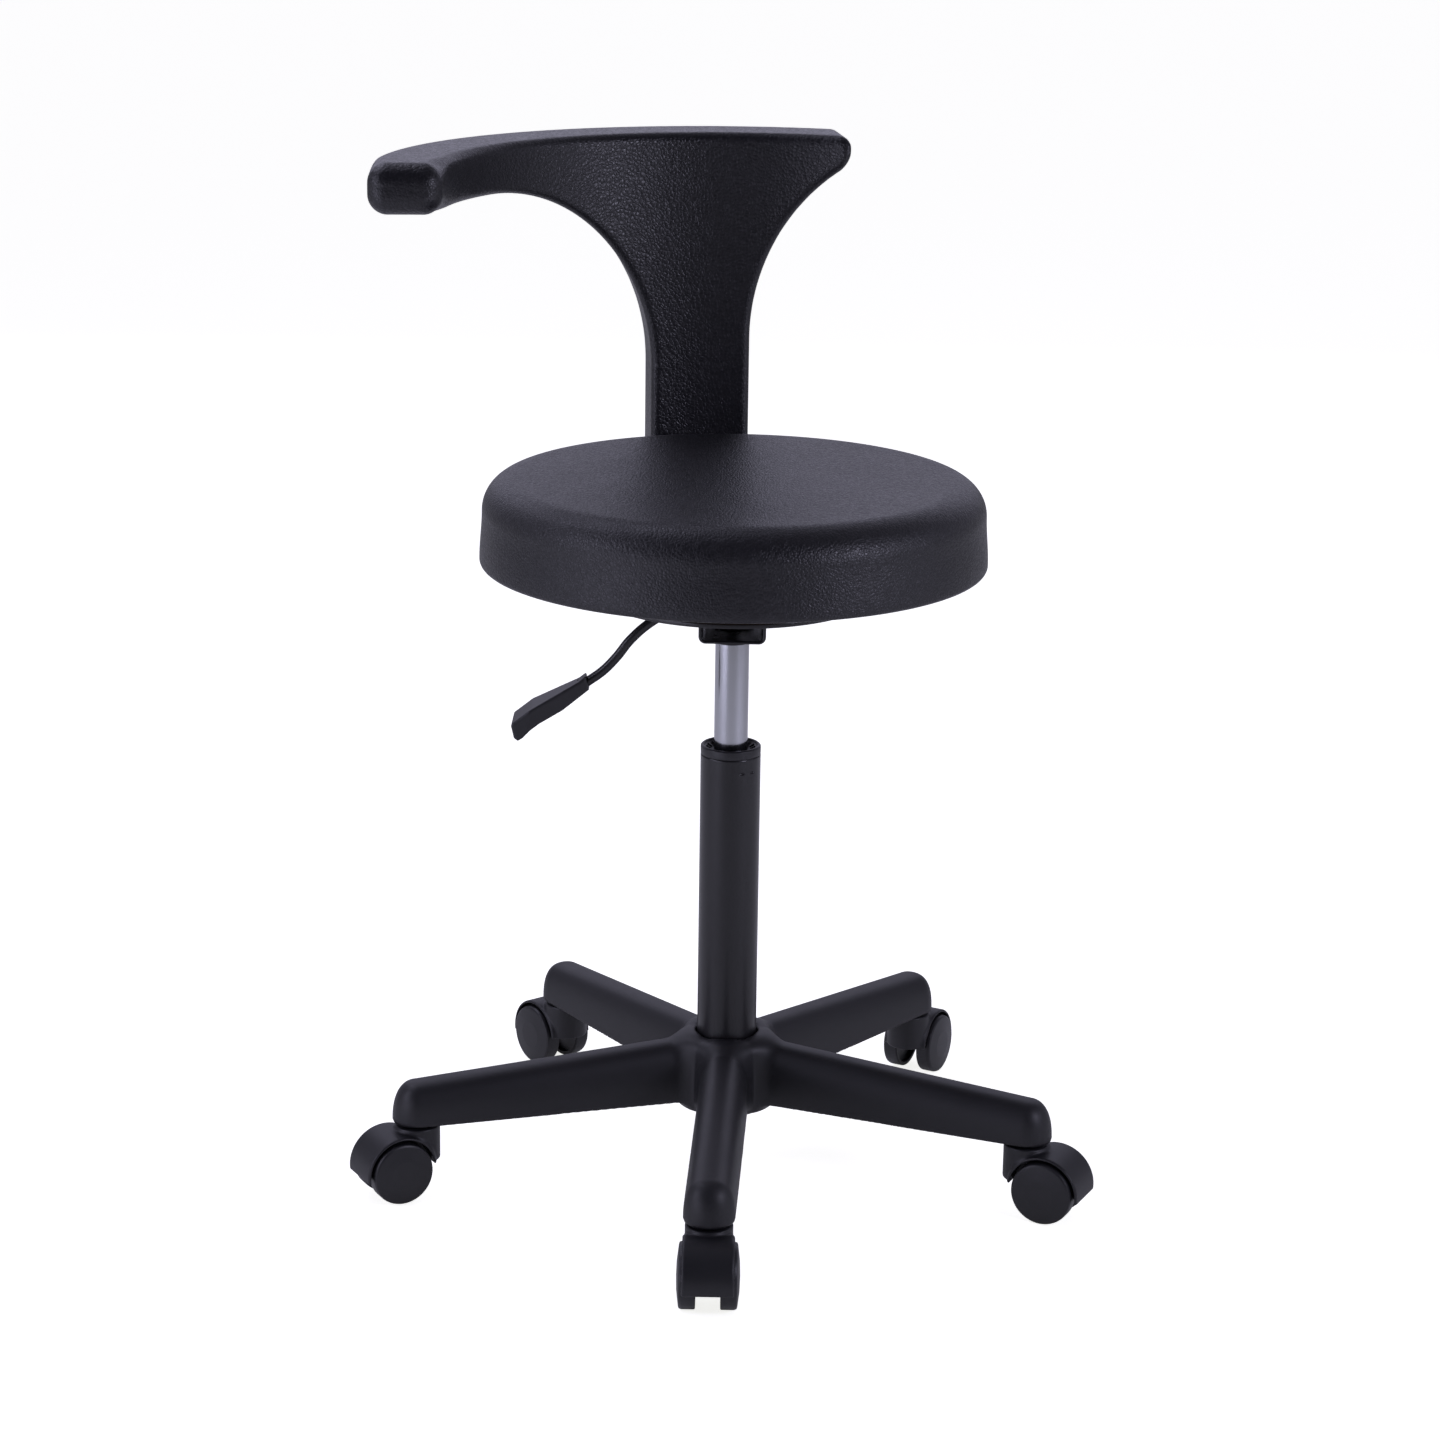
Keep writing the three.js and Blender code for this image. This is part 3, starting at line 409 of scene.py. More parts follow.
def enamel_finish(name, dark, light, low, high, peel=0.05):
    """Baked black enamel on steel, with a faint orange peel."""
    paint = Paint(name, IOR=1.5, Coat_IOR=1.5)
    ripple = paint.noise(2.4, 2)
    cloud = paint.noise(26, 3)
    speck = paint.noise(0.35, 2)
    paint.relief(ripple * 0.8 + speck * 0.2, peel)
    paint.colour(cloud * 0.5 + speck * 0.5, dark, light)
    paint.feed("Roughness", low + cloud * (high - low))
    return paint.material


def metal_finish(name, tone, low, high, stretch, depth=0.012):
    """Bare or plated metal with fine machining marks; stretch sets which way they run."""
    paint = Paint(name, Metallic=1.0)
    along = paint.node("Mapping", {}, {"Vector": paint.place, "Scale": stretch})
    marks = paint.noise(0.6, 3, 0.6, along)
    cloud = paint.noise(14, 3)
    paint.relief(marks, depth)
    paint.colour(cloud * 0.6 + marks * 0.4, tuple(0.88 * t for t in tone), tone)
    paint.feed("Roughness", low + marks * (high - low) * 0.6 + cloud * (high - low) * 0.4)
    return paint.material


def ply_finish(name):
    """Plain plywood, its fibres along Y."""
    paint = Paint(name)
    along = paint.node("Mapping", {}, {"Vector": paint.place, "Scale": (1, 0.08, 1)})
    fibre = paint.noise(2.2, 5, 0.6, along)
    bands = paint.noise(16, 3, 0.5, along)
    paint.relief(fibre, 0.15)
    paint.colour(fibre * 0.5 + bands * 0.5, (0.16, 0.09, 0.045), (0.42, 0.28, 0.15))
    paint.feed("Roughness", 0.55 + fibre * 0.2)
    return paint.material


SEAT_SKIN = skin_finish("seat_skin", 2.4, 0.34, 0.30)
PAD_SKIN = skin_finish("pad_skin", 3.0, 0.34, 0.27)
LEG_NYLON = moulded_finish(
    "leg_nylon", (0.009, 0.009, 0.0105), (0.013, 0.013, 0.0155), 0.42, 0.56,
)
HOOD_NYLON = moulded_finish(
    "hood_nylon", (0.010, 0.010, 0.0115), (0.014, 0.014, 0.0165), 0.40, 0.52,
)
WHEEL_PLASTIC = moulded_finish(
    "wheel_plastic", (0.011, 0.011, 0.0125), (0.015, 0.015, 0.0175), 0.34, 0.46, 0.018,
)
GRIP_PLASTIC = moulded_finish(
    "grip_plastic", (0.012, 0.012, 0.0138), (0.017, 0.017, 0.0198), 0.38, 0.50, 0.02,
)
CAP_PLASTIC = moulded_finish(
    "cap_plastic", (0.013, 0.013, 0.0148), (0.019, 0.019, 0.0215), 0.34, 0.46, 0.015,
)
WHITE_NYLON = moulded_finish("white_nylon", (0.58, 0.57, 0.52), (0.70, 0.69, 0.64), 0.40, 0.55)
TUBE_ENAMEL = enamel_finish(
    "tube_enamel", (0.0085, 0.0083, 0.0095), (0.0125, 0.0122, 0.014), 0.24, 0.36,
)
STEEL_ENAMEL = enamel_finish(
    "steel_enamel", (0.0085, 0.0085, 0.0095), (0.013, 0.013, 0.0145), 0.20, 0.32, 0.04,
)
# A near-black finish for thin bars that stand in for the shade inside the cap's rim slots: painted
# shade.
SLOT_SHADE_PAINT = moulded_finish("painted_slot_shade", (0.0022, 0.0022, 0.0025), (0.0035, 0.0035, 0.004), 0.75, 0.9)
CYLINDER_STEEL = metal_finish("cylinder_steel", (0.48, 0.49, 0.51), 0.14, 0.24, (1, 1, 0.12))
ZINC = metal_finish("zinc", (0.56, 0.57, 0.60), 0.28, 0.45, (1, 1, 3.0), 0.02)
STEM_STEEL = metal_finish("stem_steel", (0.03, 0.03, 0.032), 0.4, 0.55, (1, 1, 3.0), 0.02)
CAST_ALUMINIUM = metal_finish("cast_aluminium", (0.50, 0.50, 0.52), 0.40, 0.60, (1, 1, 1), 0.10)
RUBBER = moulded_finish("rubber", (0.006, 0.006, 0.006), (0.012, 0.012, 0.012), 0.75, 0.92, 0.06)
PLYWOOD = ply_finish("plywood")

# ------------------------------------------------------------------ base
LEG_DIRECTIONS = [
    math.atan2(JOINTS[f"castor_swivel_{n}"]["pos_m"][1], JOINTS[f"castor_swivel_{n}"]["pos_m"][0])
    for n in CASTORS
]
CASTOR_CIRCLE = math.hypot(*JOINTS["castor_swivel_1"]["pos_m"][:2]) / MM
HUB_TOP = float(high_of("base_star")[2])
HUB_FOOT = float(low_of("base_star")[2])
HUB_RADIUS, HUB_BORE = 41.0, 26.6
STEM_TOP = float(high_of("castor_stem_1")[2])
# A leg's half width, foot and crest, at its root and at its tip.
LEG_ROOT, LEG_TIP = 20.8, 20.6
ROOT_FOOT, TIP_FOOT = HUB_FOOT + 7.5, STEM_TOP - 24.4
ROOT_CREST, TIP_CREST = HUB_TOP - 3.9, STEM_TOP + 10.0
LEG_START = 45
LEG_WALL = 4.2
STEM_BORE = 5.8


def leg_arch(x, y, z, shrink, drop):
    """The rounded arch of a leg that runs along +X, closed round the castor's stem."""
    share = np.clip((x - LEG_START) / (CASTOR_CIRCLE - LEG_START), -0.2, 1)
    half = LEG_ROOT + (LEG_TIP - LEG_ROOT) * share - shrink
    foot = ROOT_FOOT + (TIP_FOOT - ROOT_FOOT) * share - drop
    crest = ROOT_CREST + (TIP_CREST - ROOT_CREST) * share - shrink
    past = np.maximum(x - CASTOR_CIRCLE, 0)
    out = span(past, y)
    ahead = past / np.maximum(out, 1e-6)
    power = 2.75 - 0.35 * ahead * ahead
    u = np.maximum(out / half, 1e-6)
    w = np.maximum((z - foot) / (crest - foot), 1e-6)
    norm = (u ** power + w ** power) ** (1 / power)
    slope = span((u / norm) ** (power - 1) / half, (w / norm) ** (power - 1) / (crest - foot))
    return (norm - 1) / np.maximum(slope, 1e-3), foot


def base_distance(p):
    """The base: a hub and five hollow legs, with a groove under the hub's edge and its bores."""
    x, y, z = p.T
    r = span(x, y)
    hub = overlap(r - HUB_RADIUS, z - HUB_TOP, 9.5)
    hub = overlap(hub, HUB_FOOT - z, 2.0)
    legs = np.full(len(p), 1e3)
    hollows = np.full(len(p), 1e3)
    for direction in LEG_DIRECTIONS:
        c, s = math.cos(direction), math.sin(direction)
        along, aside = x * c + y * s, y * c - x * s
        outside, foot = leg_arch(along, aside, z, 0.0, 0.0)
        leg = overlap(overlap(outside, foot - z, 1.6), 8 - along, 1.0)
        legs = np.minimum(legs, leg)
        inside, _ = leg_arch(along, aside, z, LEG_WALL, 6.0)
        room = overlap(overlap(inside, along - (CASTOR_CIRCLE - 17), 2.0), 46 - along, 2.0)
        hollows = np.minimum(hollows, room)
        stem = span(along - CASTOR_CIRCLE, aside) - STEM_BORE
        hollows = np.minimum(hollows, np.maximum(stem, z - STEM_TOP - 1.0))
    star = joined(hub, legs, 12.0)
    star = less(star, hollows, 0.8)
    undercut = np.maximum(np.abs(r - 34.5) - 3.0, z - (HUB_TOP - 25))
    star = less(star, undercut, 0.8)
    return less(star, r - HUB_BORE, 1.3)


base_low, base_high = low_of("base_star") - 6, high_of("base_star") + 6
base_skin = skin_of(base_distance, base_low, base_high, 2.1)
base = mesh_piece("base_star_moulding", *base_skin, LEG_NYLON)
stands_for(base, "base", "nylon", "base_star")


def grown(name, build, inputs, finish):
    """A plain mesh from a Geometry Nodes tree. build wires the tree from its group inputs; inputs
    maps each named size to its value."""
    tree = bpy.data.node_groups.new(name + "_rule", "GeometryNodeTree")
    for label, value in inputs.items():
        kind = "NodeSocketInt" if isinstance(value, int) else "NodeSocketFloat"
        tree.interface.new_socket(label, in_out="INPUT", socket_type=kind)
    tree.interface.new_socket("Mesh", in_out="OUTPUT", socket_type="NodeSocketGeometry")
    given = tree.nodes.new("NodeGroupInput")
    result = tree.nodes.new("NodeGroupOutput")

    def node(kind, settings=None, sockets=None):
        made = tree.nodes.new(kind)
        for setting, value in (settings or {}).items():
            setattr(made, setting, value)
        for socket, value in (sockets or {}).items():
            if isinstance(value, bpy.types.NodeSocket):
                tree.links.new(value, made.inputs[socket])
            else:
                made.inputs[socket].default_value = value
        return made

    last = build(node, given.outputs)
    real = node("GeometryNodeRealizeInstances", sockets={0: last})
    painted = node("GeometryNodeSetMaterial", sockets={0: real.outputs[0], "Material": finish})
    tree.links.new(painted.outputs[0], result.inputs[0])
    holder = bpy.data.objects.new(name, bpy.data.meshes.new(name))
    bpy.context.scene.collection.objects.link(holder)
    modifier = holder.modifiers.new("rule", "NODES")
    modifier.node_group = tree
    for item in tree.interface.items_tree:
        if item.in_out == "INPUT":
            modifier[item.identifier] = inputs[item.name]
    ready = holder.evaluated_get(bpy.context.evaluated_depsgraph_get())
    plain = bpy.data.meshes.new_from_object(ready)
    holder.modifiers.remove(modifier)
    holder.data = plain
    plain.name = name
    if not plain.materials:
        plain.materials.append(finish)
    return holder


def maths(node, operation, first, second):
    """A Math node's result, in a Geometry Nodes tree."""
    return node("ShaderNodeMath", {"operation": operation}, {0: first, 1: second}).outputs[0]


def rib_rule(node, size):
    """Thin plates set one after another along the leg, each turned the other way."""
    count = size["Count"]
    line = node("GeometryNodeMeshLine", {"mode": "OFFSET"}, {"Count": count})
    order = node("GeometryNodeInputIndex").outputs[0]
    pitch = maths(node, "MULTIPLY", order, size["Pitch"])
    reach = maths(node, "ADD", pitch, size["Start"])
    shrink = maths(node, "MULTIPLY", order, size["Fall"])
    height = maths(node, "SUBTRACT", size["Height"], shrink)
    middle = maths(node, "ADD", size["Foot"], maths(node, "MULTIPLY", height, 0.5))
    place = node("ShaderNodeCombineXYZ", sockets={"X": reach, "Z": middle}).outputs[0]
    dots = node("GeometryNodeSetPosition", sockets={0: line.outputs[0], "Position": place})
    plate = node("GeometryNodeMeshCube", sockets={
        "Size": (1.0, 1.0, 1.0), "Vertices X": 2, "Vertices Y": 4, "Vertices Z": 4,
    })
    scale = node("ShaderNodeCombineXYZ", sockets={
        "X": size["Thickness"], "Y": size["Width"], "Z": height,
    }).outputs[0]
    odd = maths(node, "MODULO", order, 2.0)
    lean = maths(node, "MULTIPLY", maths(node, "SUBTRACT", odd, 0.5), size["Lean"])
    turn = node("ShaderNodeCombineXYZ", sockets={"Z": lean}).outputs[0]
    return node("GeometryNodeInstanceOnPoints", sockets={
        "Points": dots.outputs[0], "Instance": plate.outputs[0], "Rotation": turn, "Scale": scale,
    }).outputs[0]


for n, direction in zip(CASTORS, LEG_DIRECTIONS):
    ribs = grown(f"leg_ribs_{n}", rib_rule, {
        "Count": 12, "Pitch": 16.5 * MM, "Start": 57 * MM, "Foot": 68.5 * MM,
        "Height": 29.0 * MM, "Fall": 0.9 * MM, "Width": 25 * MM, "Thickness": 1.6 * MM,
        "Lean": math.radians(64),
    }, LEG_NYLON)
    placed(ribs, Matrix.Rotation(direction, 4, "Z"))
    stands_for(ribs, "base", "nylon")

# ------------------------------------------------------------------ column
sleeve_low, sleeve_high = low_of("hub_sleeve"), high_of("hub_sleeve")
stands_for(turned("hub_sleeve_steel", [
    (24.75, sleeve_low[2], 0.3), (26.3, sleeve_low[2], 0.3), (26.3, sleeve_high[2], 0.3),
    (25.35, sleeve_high[2], 0.3),
], ZINC), "base", "bright_steel", "hub_sleeve")

tube_low, tube_high = low_of("column_tube"), high_of("column_tube")
TUBE_RADIUS = float(tube_high[0])
CRIMP_HEIGHT = float(tube_high[2]) - 11.5
CRIMP_DIRECTIONS = (math.radians(-67.4), math.radians(-44.0))
TUBE_WALL = 1.6
TAPER_TOP = float(tube_low[2]) + 54


def tube():
    """The outer tube, with two small crimps pressed in below its upper edge."""
    outside = [
        (24.2, tube_low[2]), (TUBE_RADIUS - 0.02, TAPER_TOP), (TUBE_RADIUS, TAPER_TOP + 6),
    ]
    outside += [
        (TUBE_RADIUS, z) for z in np.linspace(TAPER_TOP + 20, CRIMP_HEIGHT - 13.7, 12)
    ]
    outside += [
        (TUBE_RADIUS, z) for z in np.linspace(CRIMP_HEIGHT - 10.7, tube_high[2] - 0.7, 46)
    ]
    rim = [
        (TUBE_RADIUS - 0.3, tube_high[2] - 0.1), (TUBE_RADIUS - 0.8, tube_high[2]),
        (TUBE_RADIUS - TUBE_WALL, tube_high[2] - 0.2),
    ]
    inner = [
        (TUBE_RADIUS - TUBE_WALL, TAPER_TOP + 2), (22.6, tube_low[2] + 2.6),
        (5.3, tube_low[2] + 2.6),
    ]
    profile = [(5.3, tube_low[2]), (23.6, tube_low[2])] + outside + rim + inner
    points, faces = revolved(profile, 240, True)
    points = np.array(points)
    radius = span(points[:, 0], points[:, 1])
    for direction in CRIMP_DIRECTIONS:
        angle = np.arctan2(points[:, 1], points[:, 0]) - direction
        aside = np.arctan2(np.sin(angle), np.cos(angle)) * TUBE_RADIUS
        off = span(aside / 2.9, (points[:, 2] - CRIMP_HEIGHT) / 1.25)
        depth = 1.0 * (1 - ramp(off, 0.35, 1.05)) * (radius > TUBE_RADIUS - 0.1)
        points[:, :2] *= (1 - depth / radius)[:, None]
    return sharpened(mesh_piece("column_tube_enamelled", points, np.array(faces), TUBE_ENAMEL), 34)


stands_for(tube(), "base", "black_steel", "column_tube")

bush_low, bush_high = low_of("guide_bush"), high_of("guide_bush")
cap_foot, cap_top = float(tube_high[2] + 0.3), float(bush_high[2])
stands_for(turned("guide_bush_cap", [
    (14.3, bush_low[2], 0.4), (23.1, bush_low[2], 0.4), (23.1, cap_foot, 0.2),
    (24.9, cap_foot, 0.5), (TUBE_RADIUS, cap_foot + 2.4, 0.5), (TUBE_RADIUS, cap_top - 1.1, 0.9),
    (TUBE_RADIUS - 1.2, cap_top, 0.6), (TUBE_RADIUS - 2.5, cap_top - 0.1, 0.5),
    (21.6, cap_top - 1.6, 0.6), (15.6, cap_top - 5.4, 0.8), (14.3, cap_top - 5.6, 0.4),
], CAP_PLASTIC, 160), "base", "nylon", "guide_bush")


def bar_ring_rule(node, size):
    """Short bars set round the column at one radius; near-black ones are painted slot shade."""
    circle = node("GeometryNodeMeshCircle", {"fill_type": "NONE"}, {
        "Vertices": size["Count"], "Radius": size["Radius"],
    })
    lifted = node("GeometryNodeSetPosition", sockets={
        0: circle.outputs[0],
        "Offset": node("ShaderNodeCombineXYZ", sockets={"Z": size["Height"]}).outputs[0],
    })
    bar = node("GeometryNodeMeshCube", sockets={
        "Size": (1.0, 1.0, 1.0), "Vertices X": 3, "Vertices Y": 5, "Vertices Z": 2,
    })
    order = node("GeometryNodeInputIndex").outputs[0]
    share = maths(node, "DIVIDE", order, size["Count"])
    turn = maths(node, "MULTIPLY", share, 2 * math.pi)
    spin = node("ShaderNodeCombineXYZ", sockets={"Y": size["Slope"], "Z": turn}).outputs[0]
    scale = node("ShaderNodeCombineXYZ", sockets={
        "X": size["Length"], "Y": size["Width"], "Z": size["Thickness"],
    }).outputs[0]
    return node("GeometryNodeInstanceOnPoints", sockets={
        "Points": lifted.outputs[0], "Instance": bar.outputs[0], "Rotation": spin, "Scale": scale,
    }).outputs[0]


# Thin near-black bars round the cap's rim: painted shade where the slots' openings are.
stands_for(grown("cap_rim_painted_slot_shade", bar_ring_rule, {
    "Count": 18, "Radius": 22.35 * MM, "Height": (cap_top - 0.95) * MM, "Length": 1.25 * MM,
    "Width": 3.9 * MM, "Thickness": 0.5 * MM, "Slope": math.radians(-38),
}, SLOT_SHADE_PAINT), "base", "nylon")
stands_for(grown("cap_inner_fins", bar_ring_rule, {
    "Count": 18, "Radius": 18.4 * MM, "Height": (cap_top - 3.1) * MM, "Length": 4.6 * MM,
    "Width": 0.9 * MM, "Thickness": 1.6 * MM, "Slope": math.radians(-32),
}, CAP_PLASTIC), "base", "nylon")

cylinder_low, cylinder_high = low_of("gas_cylinder"), high_of("gas_cylinder")
CYLINDER_RADIUS = float(cylinder_high[0])
stands_for(turned("gas_cylinder_plated", [
    (5.3, cylinder_low[2], 0.3), (CYLINDER_RADIUS, cylinder_low[2], 1.4),
    (CYLINDER_RADIUS, cylinder_high[2] - 20, 0.0), (13.3, cylinder_high[2], 0.8),
    (4.3, cylinder_high[2], 0.3), (4.3, cylinder_high[2] - 3, 0.3),
    (11.5, cylinder_high[2] - 3, 0.4), (11.5, cylinder_low[2] + 3, 0.4),
    (5.3, cylinder_low[2] + 3, 0.3),
], CYLINDER_STEEL, 128), "seat", "bright_steel", "gas_cylinder")

# ------------------------------------------------------------------ castors
# The wheels stand on the floor, so the height of their centre is their radius.
WHEEL = float(JOINTS["wheel_left_spin_1"]["pos_m"][2]) / MM
HOOD_HALF = 20.6
FENDER, FENDER_ROOM = 31.2, 29.0
WEB = 9.2
TRAIL = 22.2
HOOD_FOOT, HOOD_FRONT_FOOT = 22.0, 30.5
COLLAR_RADIUS, COLLAR_TOP = 19.0, 60.6


def hood_distance(p):
    """A castor's hood in its own frame: the stem stands on Z and the castor trails along +X."""
    x, y, z = p.T
    wheel = span(x - TRAIL, z - WHEEL)
    fender = overlap(wheel - FENDER, np.abs(y) - HOOD_HALF, 2.0)
    collar = overlap(span(x, y) - COLLAR_RADIUS, z - COLLAR_TOP, 1.2)
    hood = joined(fender, collar, 2.6)
    edge = HOOD_FOOT + (HOOD_FRONT_FOOT - HOOD_FOOT) * np.clip((TRAIL - x) / FENDER, 0, 1)
    hood = overlap(hood, (edge - z) * 0.96, 0.9)
    pocket = np.maximum(wheel - FENDER_ROOM, WEB - np.abs(y))
    hood = less(hood, pocket, 0.7)
    boss = overlap(wheel - 6.6, np.abs(y) - WEB, 0.4)
    hood = joined(hood, boss, 1.0)
    hood = less(hood, wheel - 3.3, 0.3)
    return less(hood, np.maximum(span(x, y) - STEM_BORE, 33.7 - z), 0.3)


hood_points, hood_quads = skin_of(
    hood_distance, (-21, -22.5, 15), (56, 22.5, 63), 0.95,
)

# A wheel's profile: radius, distance from the castor's middle plane, rounding.
WHEEL_INNER, WHEEL_RECESS = WEB + 0.6, WEB + 5.6
WHEEL_FACE = [
    (0.0, 18.4, 0), (3.3, 18.4, 0.2), (3.3, WHEEL_INNER, 0.3), (6.3, WHEEL_INNER, 0.3),
    (6.6, WHEEL_RECESS, 0.6), (WHEEL - 3.6, WHEEL_RECESS, 0.6), (WHEEL - 3.3, WHEEL_INNER, 0.4),
    (WHEEL, WHEEL_INNER, 1.3), (WHEEL, HOOD_HALF, 1.4), (WHEEL - 0.7, 22.5, 0.6),
    (WHEEL - 2.2, 23.1, 0.6), (12.0, 24.6, 3.0), (0.0, 25.0, 0),
]

for n in CASTORS:
    stem = JOINTS[f"castor_swivel_{n}"]["pos_m"]
    hub = JOINTS[f"wheel_left_spin_{n}"]["pos_m"]
    trailing = math.atan2(hub[1] - stem[1], hub[0] - stem[0])
    at_stem = Matrix.Translation((stem[0], stem[1], 0)) @ Matrix.Rotation(trailing, 4, "Z")
    at_hub = Matrix.Translation(hub) @ Matrix.Rotation(trailing, 4, "Z")
    hood = mesh_piece(f"castor_hood_moulding_{n}", hood_points, hood_quads, HOOD_NYLON)
    stands_for(placed(hood, at_stem), f"castor_{n}", "nylon", f"castor_hood_{n}")
    stem_foot, stem_top = low_of(f"castor_stem_{n}")[2], high_of(f"castor_stem_{n}")[2]
    pin = turned(f"castor_stem_turned_{n}", [
        (0, stem_foot, 0), (5.5, stem_foot, 0.8), (5.5, COLLAR_TOP + 0.3, 0.3),
        (13.0, COLLAR_TOP + 0.3, 0.7), (13.0, COLLAR_TOP + 2.7, 0.7), (5.5, COLLAR_TOP + 2.7, 0.3),
        (5.5, stem_top, 1.4), (0, stem_top, 0),
    ], STEM_STEEL, 64, closed=False)
    stands_for(placed(pin, at_stem), "base", "bright_steel", f"castor_stem_{n}")
    for side, turn in (("left", math.pi / 2), ("right", -math.pi / 2)):
        wheel_name = f"castor_wheel_{side}_moulding_{n}"
        wheel = turned(wheel_name, WHEEL_FACE, WHEEL_PLASTIC, 96, closed=False)
        placed(wheel, at_hub @ Matrix.Rotation(turn, 4, "X"))
        stands_for(wheel, f"wheel_{side}_{n}", "wheel_plastic", f"castor_wheel_{side}_{n}")

# ------------------------------------------------------------------ mechanism and lever
tray_low, tray_high = low_of("mechanism_channel"), high_of("mechanism_channel")


def tray_distance(p):
    """The pressed tray: bent up at its sides, slotted for the lever, open at both ends."""
    x, y, z = p.T
    half = float(tray_high[0])
    foot, top = float(tray_low[2]), float(tray_high[2])
    wall = 2.6
    outside = overlap(np.abs(x) - half, foot - z, 6.0)
    inside = overlap(np.abs(x) - (half - wall), foot + wall - z, 3.4)
    tray = np.maximum(outside, -inside)
    ends = np.maximum(tray_low[1] - y, y - tray_high[1])
    tray = overlap(overlap(tray, z - top, 0.7), ends, 0.8)
    slot = np.maximum(np.maximum(np.abs(y) - 6.5, foot + 9.4 - z), x + half - wall - 2)
    tray = less(tray, slot, 0.6)
    return less(tray, np.maximum(span(x, y) - 17.6, z - foot - 6.1), 0.5)


tray_skin = skin_of(tray_distance, tray_low - 2, tray_high + 2, 1.0)
tray = mesh_piece("mechanism_tray", *tray_skin, STEEL_ENAMEL)
stands_for(tray, "seat", "black_steel", "mechanism_channel")

grip_low, grip_high = low_of("lever_grip"), high_of("lever_grip")
LEVER_HEIGHT = JOINTS["lever_pull"]["pos_m"][2] / MM
# Seen from the front, from the lever's pivot: the grip's outline, the bore in it and the rod's
# route. The grip's half width goes from the one at its neck to the one at its end.
GRIP_SIDE = np.array([
    (-120.5, -58.6), (-117.6, -70.6), (-139.3, -87.2), (-158.3, -97.6), (-165.7, -103.0),
    (-171.8, -109.4), (-175.8, -112.0), (-179.0, -109.4), (-181.4, -99.0), (-180.8, -97.2),
    (-165.4, -85.0), (-126.2, -63.5),
])
GRIP_NECK, GRIP_END = (-118, 6.8), (-166, 19.5)
GRIP_BORE = np.array((-110.0, -58.2)), np.array((-150.5, -87.1))
LEVER_ROUTE = [
    (7, 0), (-32, 0), (-46, -1.5), (-69.5, -15.4), (-84.4, -29.4), (-95, -43.4),
    (-106.2, -55.4), (-121, -66.4), (-150, -86.8),
]


def outline_distance(x, z, outline):
    """Signed distance from a closed outline, negative inside."""
    best = np.full(len(x), 1e9)
    sign = np.ones(len(x))
    for a, b in zip(outline, np.roll(outline, -1, 0)):
        side = b - a
        wx, wz = x - a[0], z - a[1]
        share = np.clip((wx * side[0] + wz * side[1]) / (side @ side), 0, 1)
        best = np.minimum(best, (wx - side[0] * share) ** 2 + (wz - side[1] * share) ** 2)
        above, below = z >= a[1], z < b[1]
        left = side[0] * wz > side[1] * wx
        crossing = (above & below & left) | (~above & ~below & ~left)
        sign = np.where(crossing, -sign, sign)
    return sign * np.sqrt(best)


def grip_distance(p):
    """The flat grip, wider to its end, with a bore that takes the rod."""
    x, y, z = p.T
    side = outline_distance(x, z - LEVER_HEIGHT, GRIP_SIDE)
    share = np.clip((x - GRIP_NECK[0]) / (GRIP_END[0] - GRIP_NECK[0]), 0, 1)
    half = GRIP_NECK[1] + (GRIP_END[1] - GRIP_NECK[1]) * share
    grip = overlap(side, (np.abs(y) - half) * 0.96, 1.5)
    start, end = GRIP_BORE
    run = end - start
    wx, wz = x - start[0], z - LEVER_HEIGHT - start[1]
    share = np.clip((wx * run[0] + wz * run[1]) / (run @ run), 0, 1)
    bore = span(wx - run[0] * share, wz - run[1] * share, y) - 4.3
    return less(grip, bore, 0.5)


grip_skin = skin_of(grip_distance, grip_low - 3, grip_high + 3, 1.0)
grip = mesh_piece("lever_grip_moulding", *grip_skin, GRIP_PLASTIC)
stands_for(grip, "lever", "nylon", "lever_grip")


def through(points, steps):
    """A smooth curve through points: Catmull-Rom with centripetal spacing."""
    points = [np.array(point, float) for point in points]
    points = [2 * points[0] - points[1]] + points + [2 * points[-1] - points[-2]]
    out = []
    for p0, p1, p2, p3 in zip(points, points[1:], points[2:], points[3:]):
        t0 = 0.0
        t1 = t0 + span(*(p1 - p0)) ** 0.5
        t2 = t1 + span(*(p2 - p1)) ** 0.5
        t3 = t2 + span(*(p3 - p2)) ** 0.5
        for t in np.linspace(t1, t2, steps, endpoint=False):
            a1 = (t1 - t) / (t1 - t0) * p0 + (t - t0) / (t1 - t0) * p1
            a2 = (t2 - t) / (t2 - t1) * p1 + (t - t1) / (t2 - t1) * p2
            a3 = (t3 - t) / (t3 - t2) * p2 + (t - t2) / (t3 - t2) * p3
            b1 = (t2 - t) / (t2 - t0) * a1 + (t - t0) / (t2 - t0) * a2
            b2 = (t3 - t) / (t3 - t1) * a2 + (t - t1) / (t3 - t1) * a3
            out.append((t2 - t) / (t2 - t1) * b1 + (t - t1) / (t2 - t1) * b2)
    out.append(points[-2])
    return out


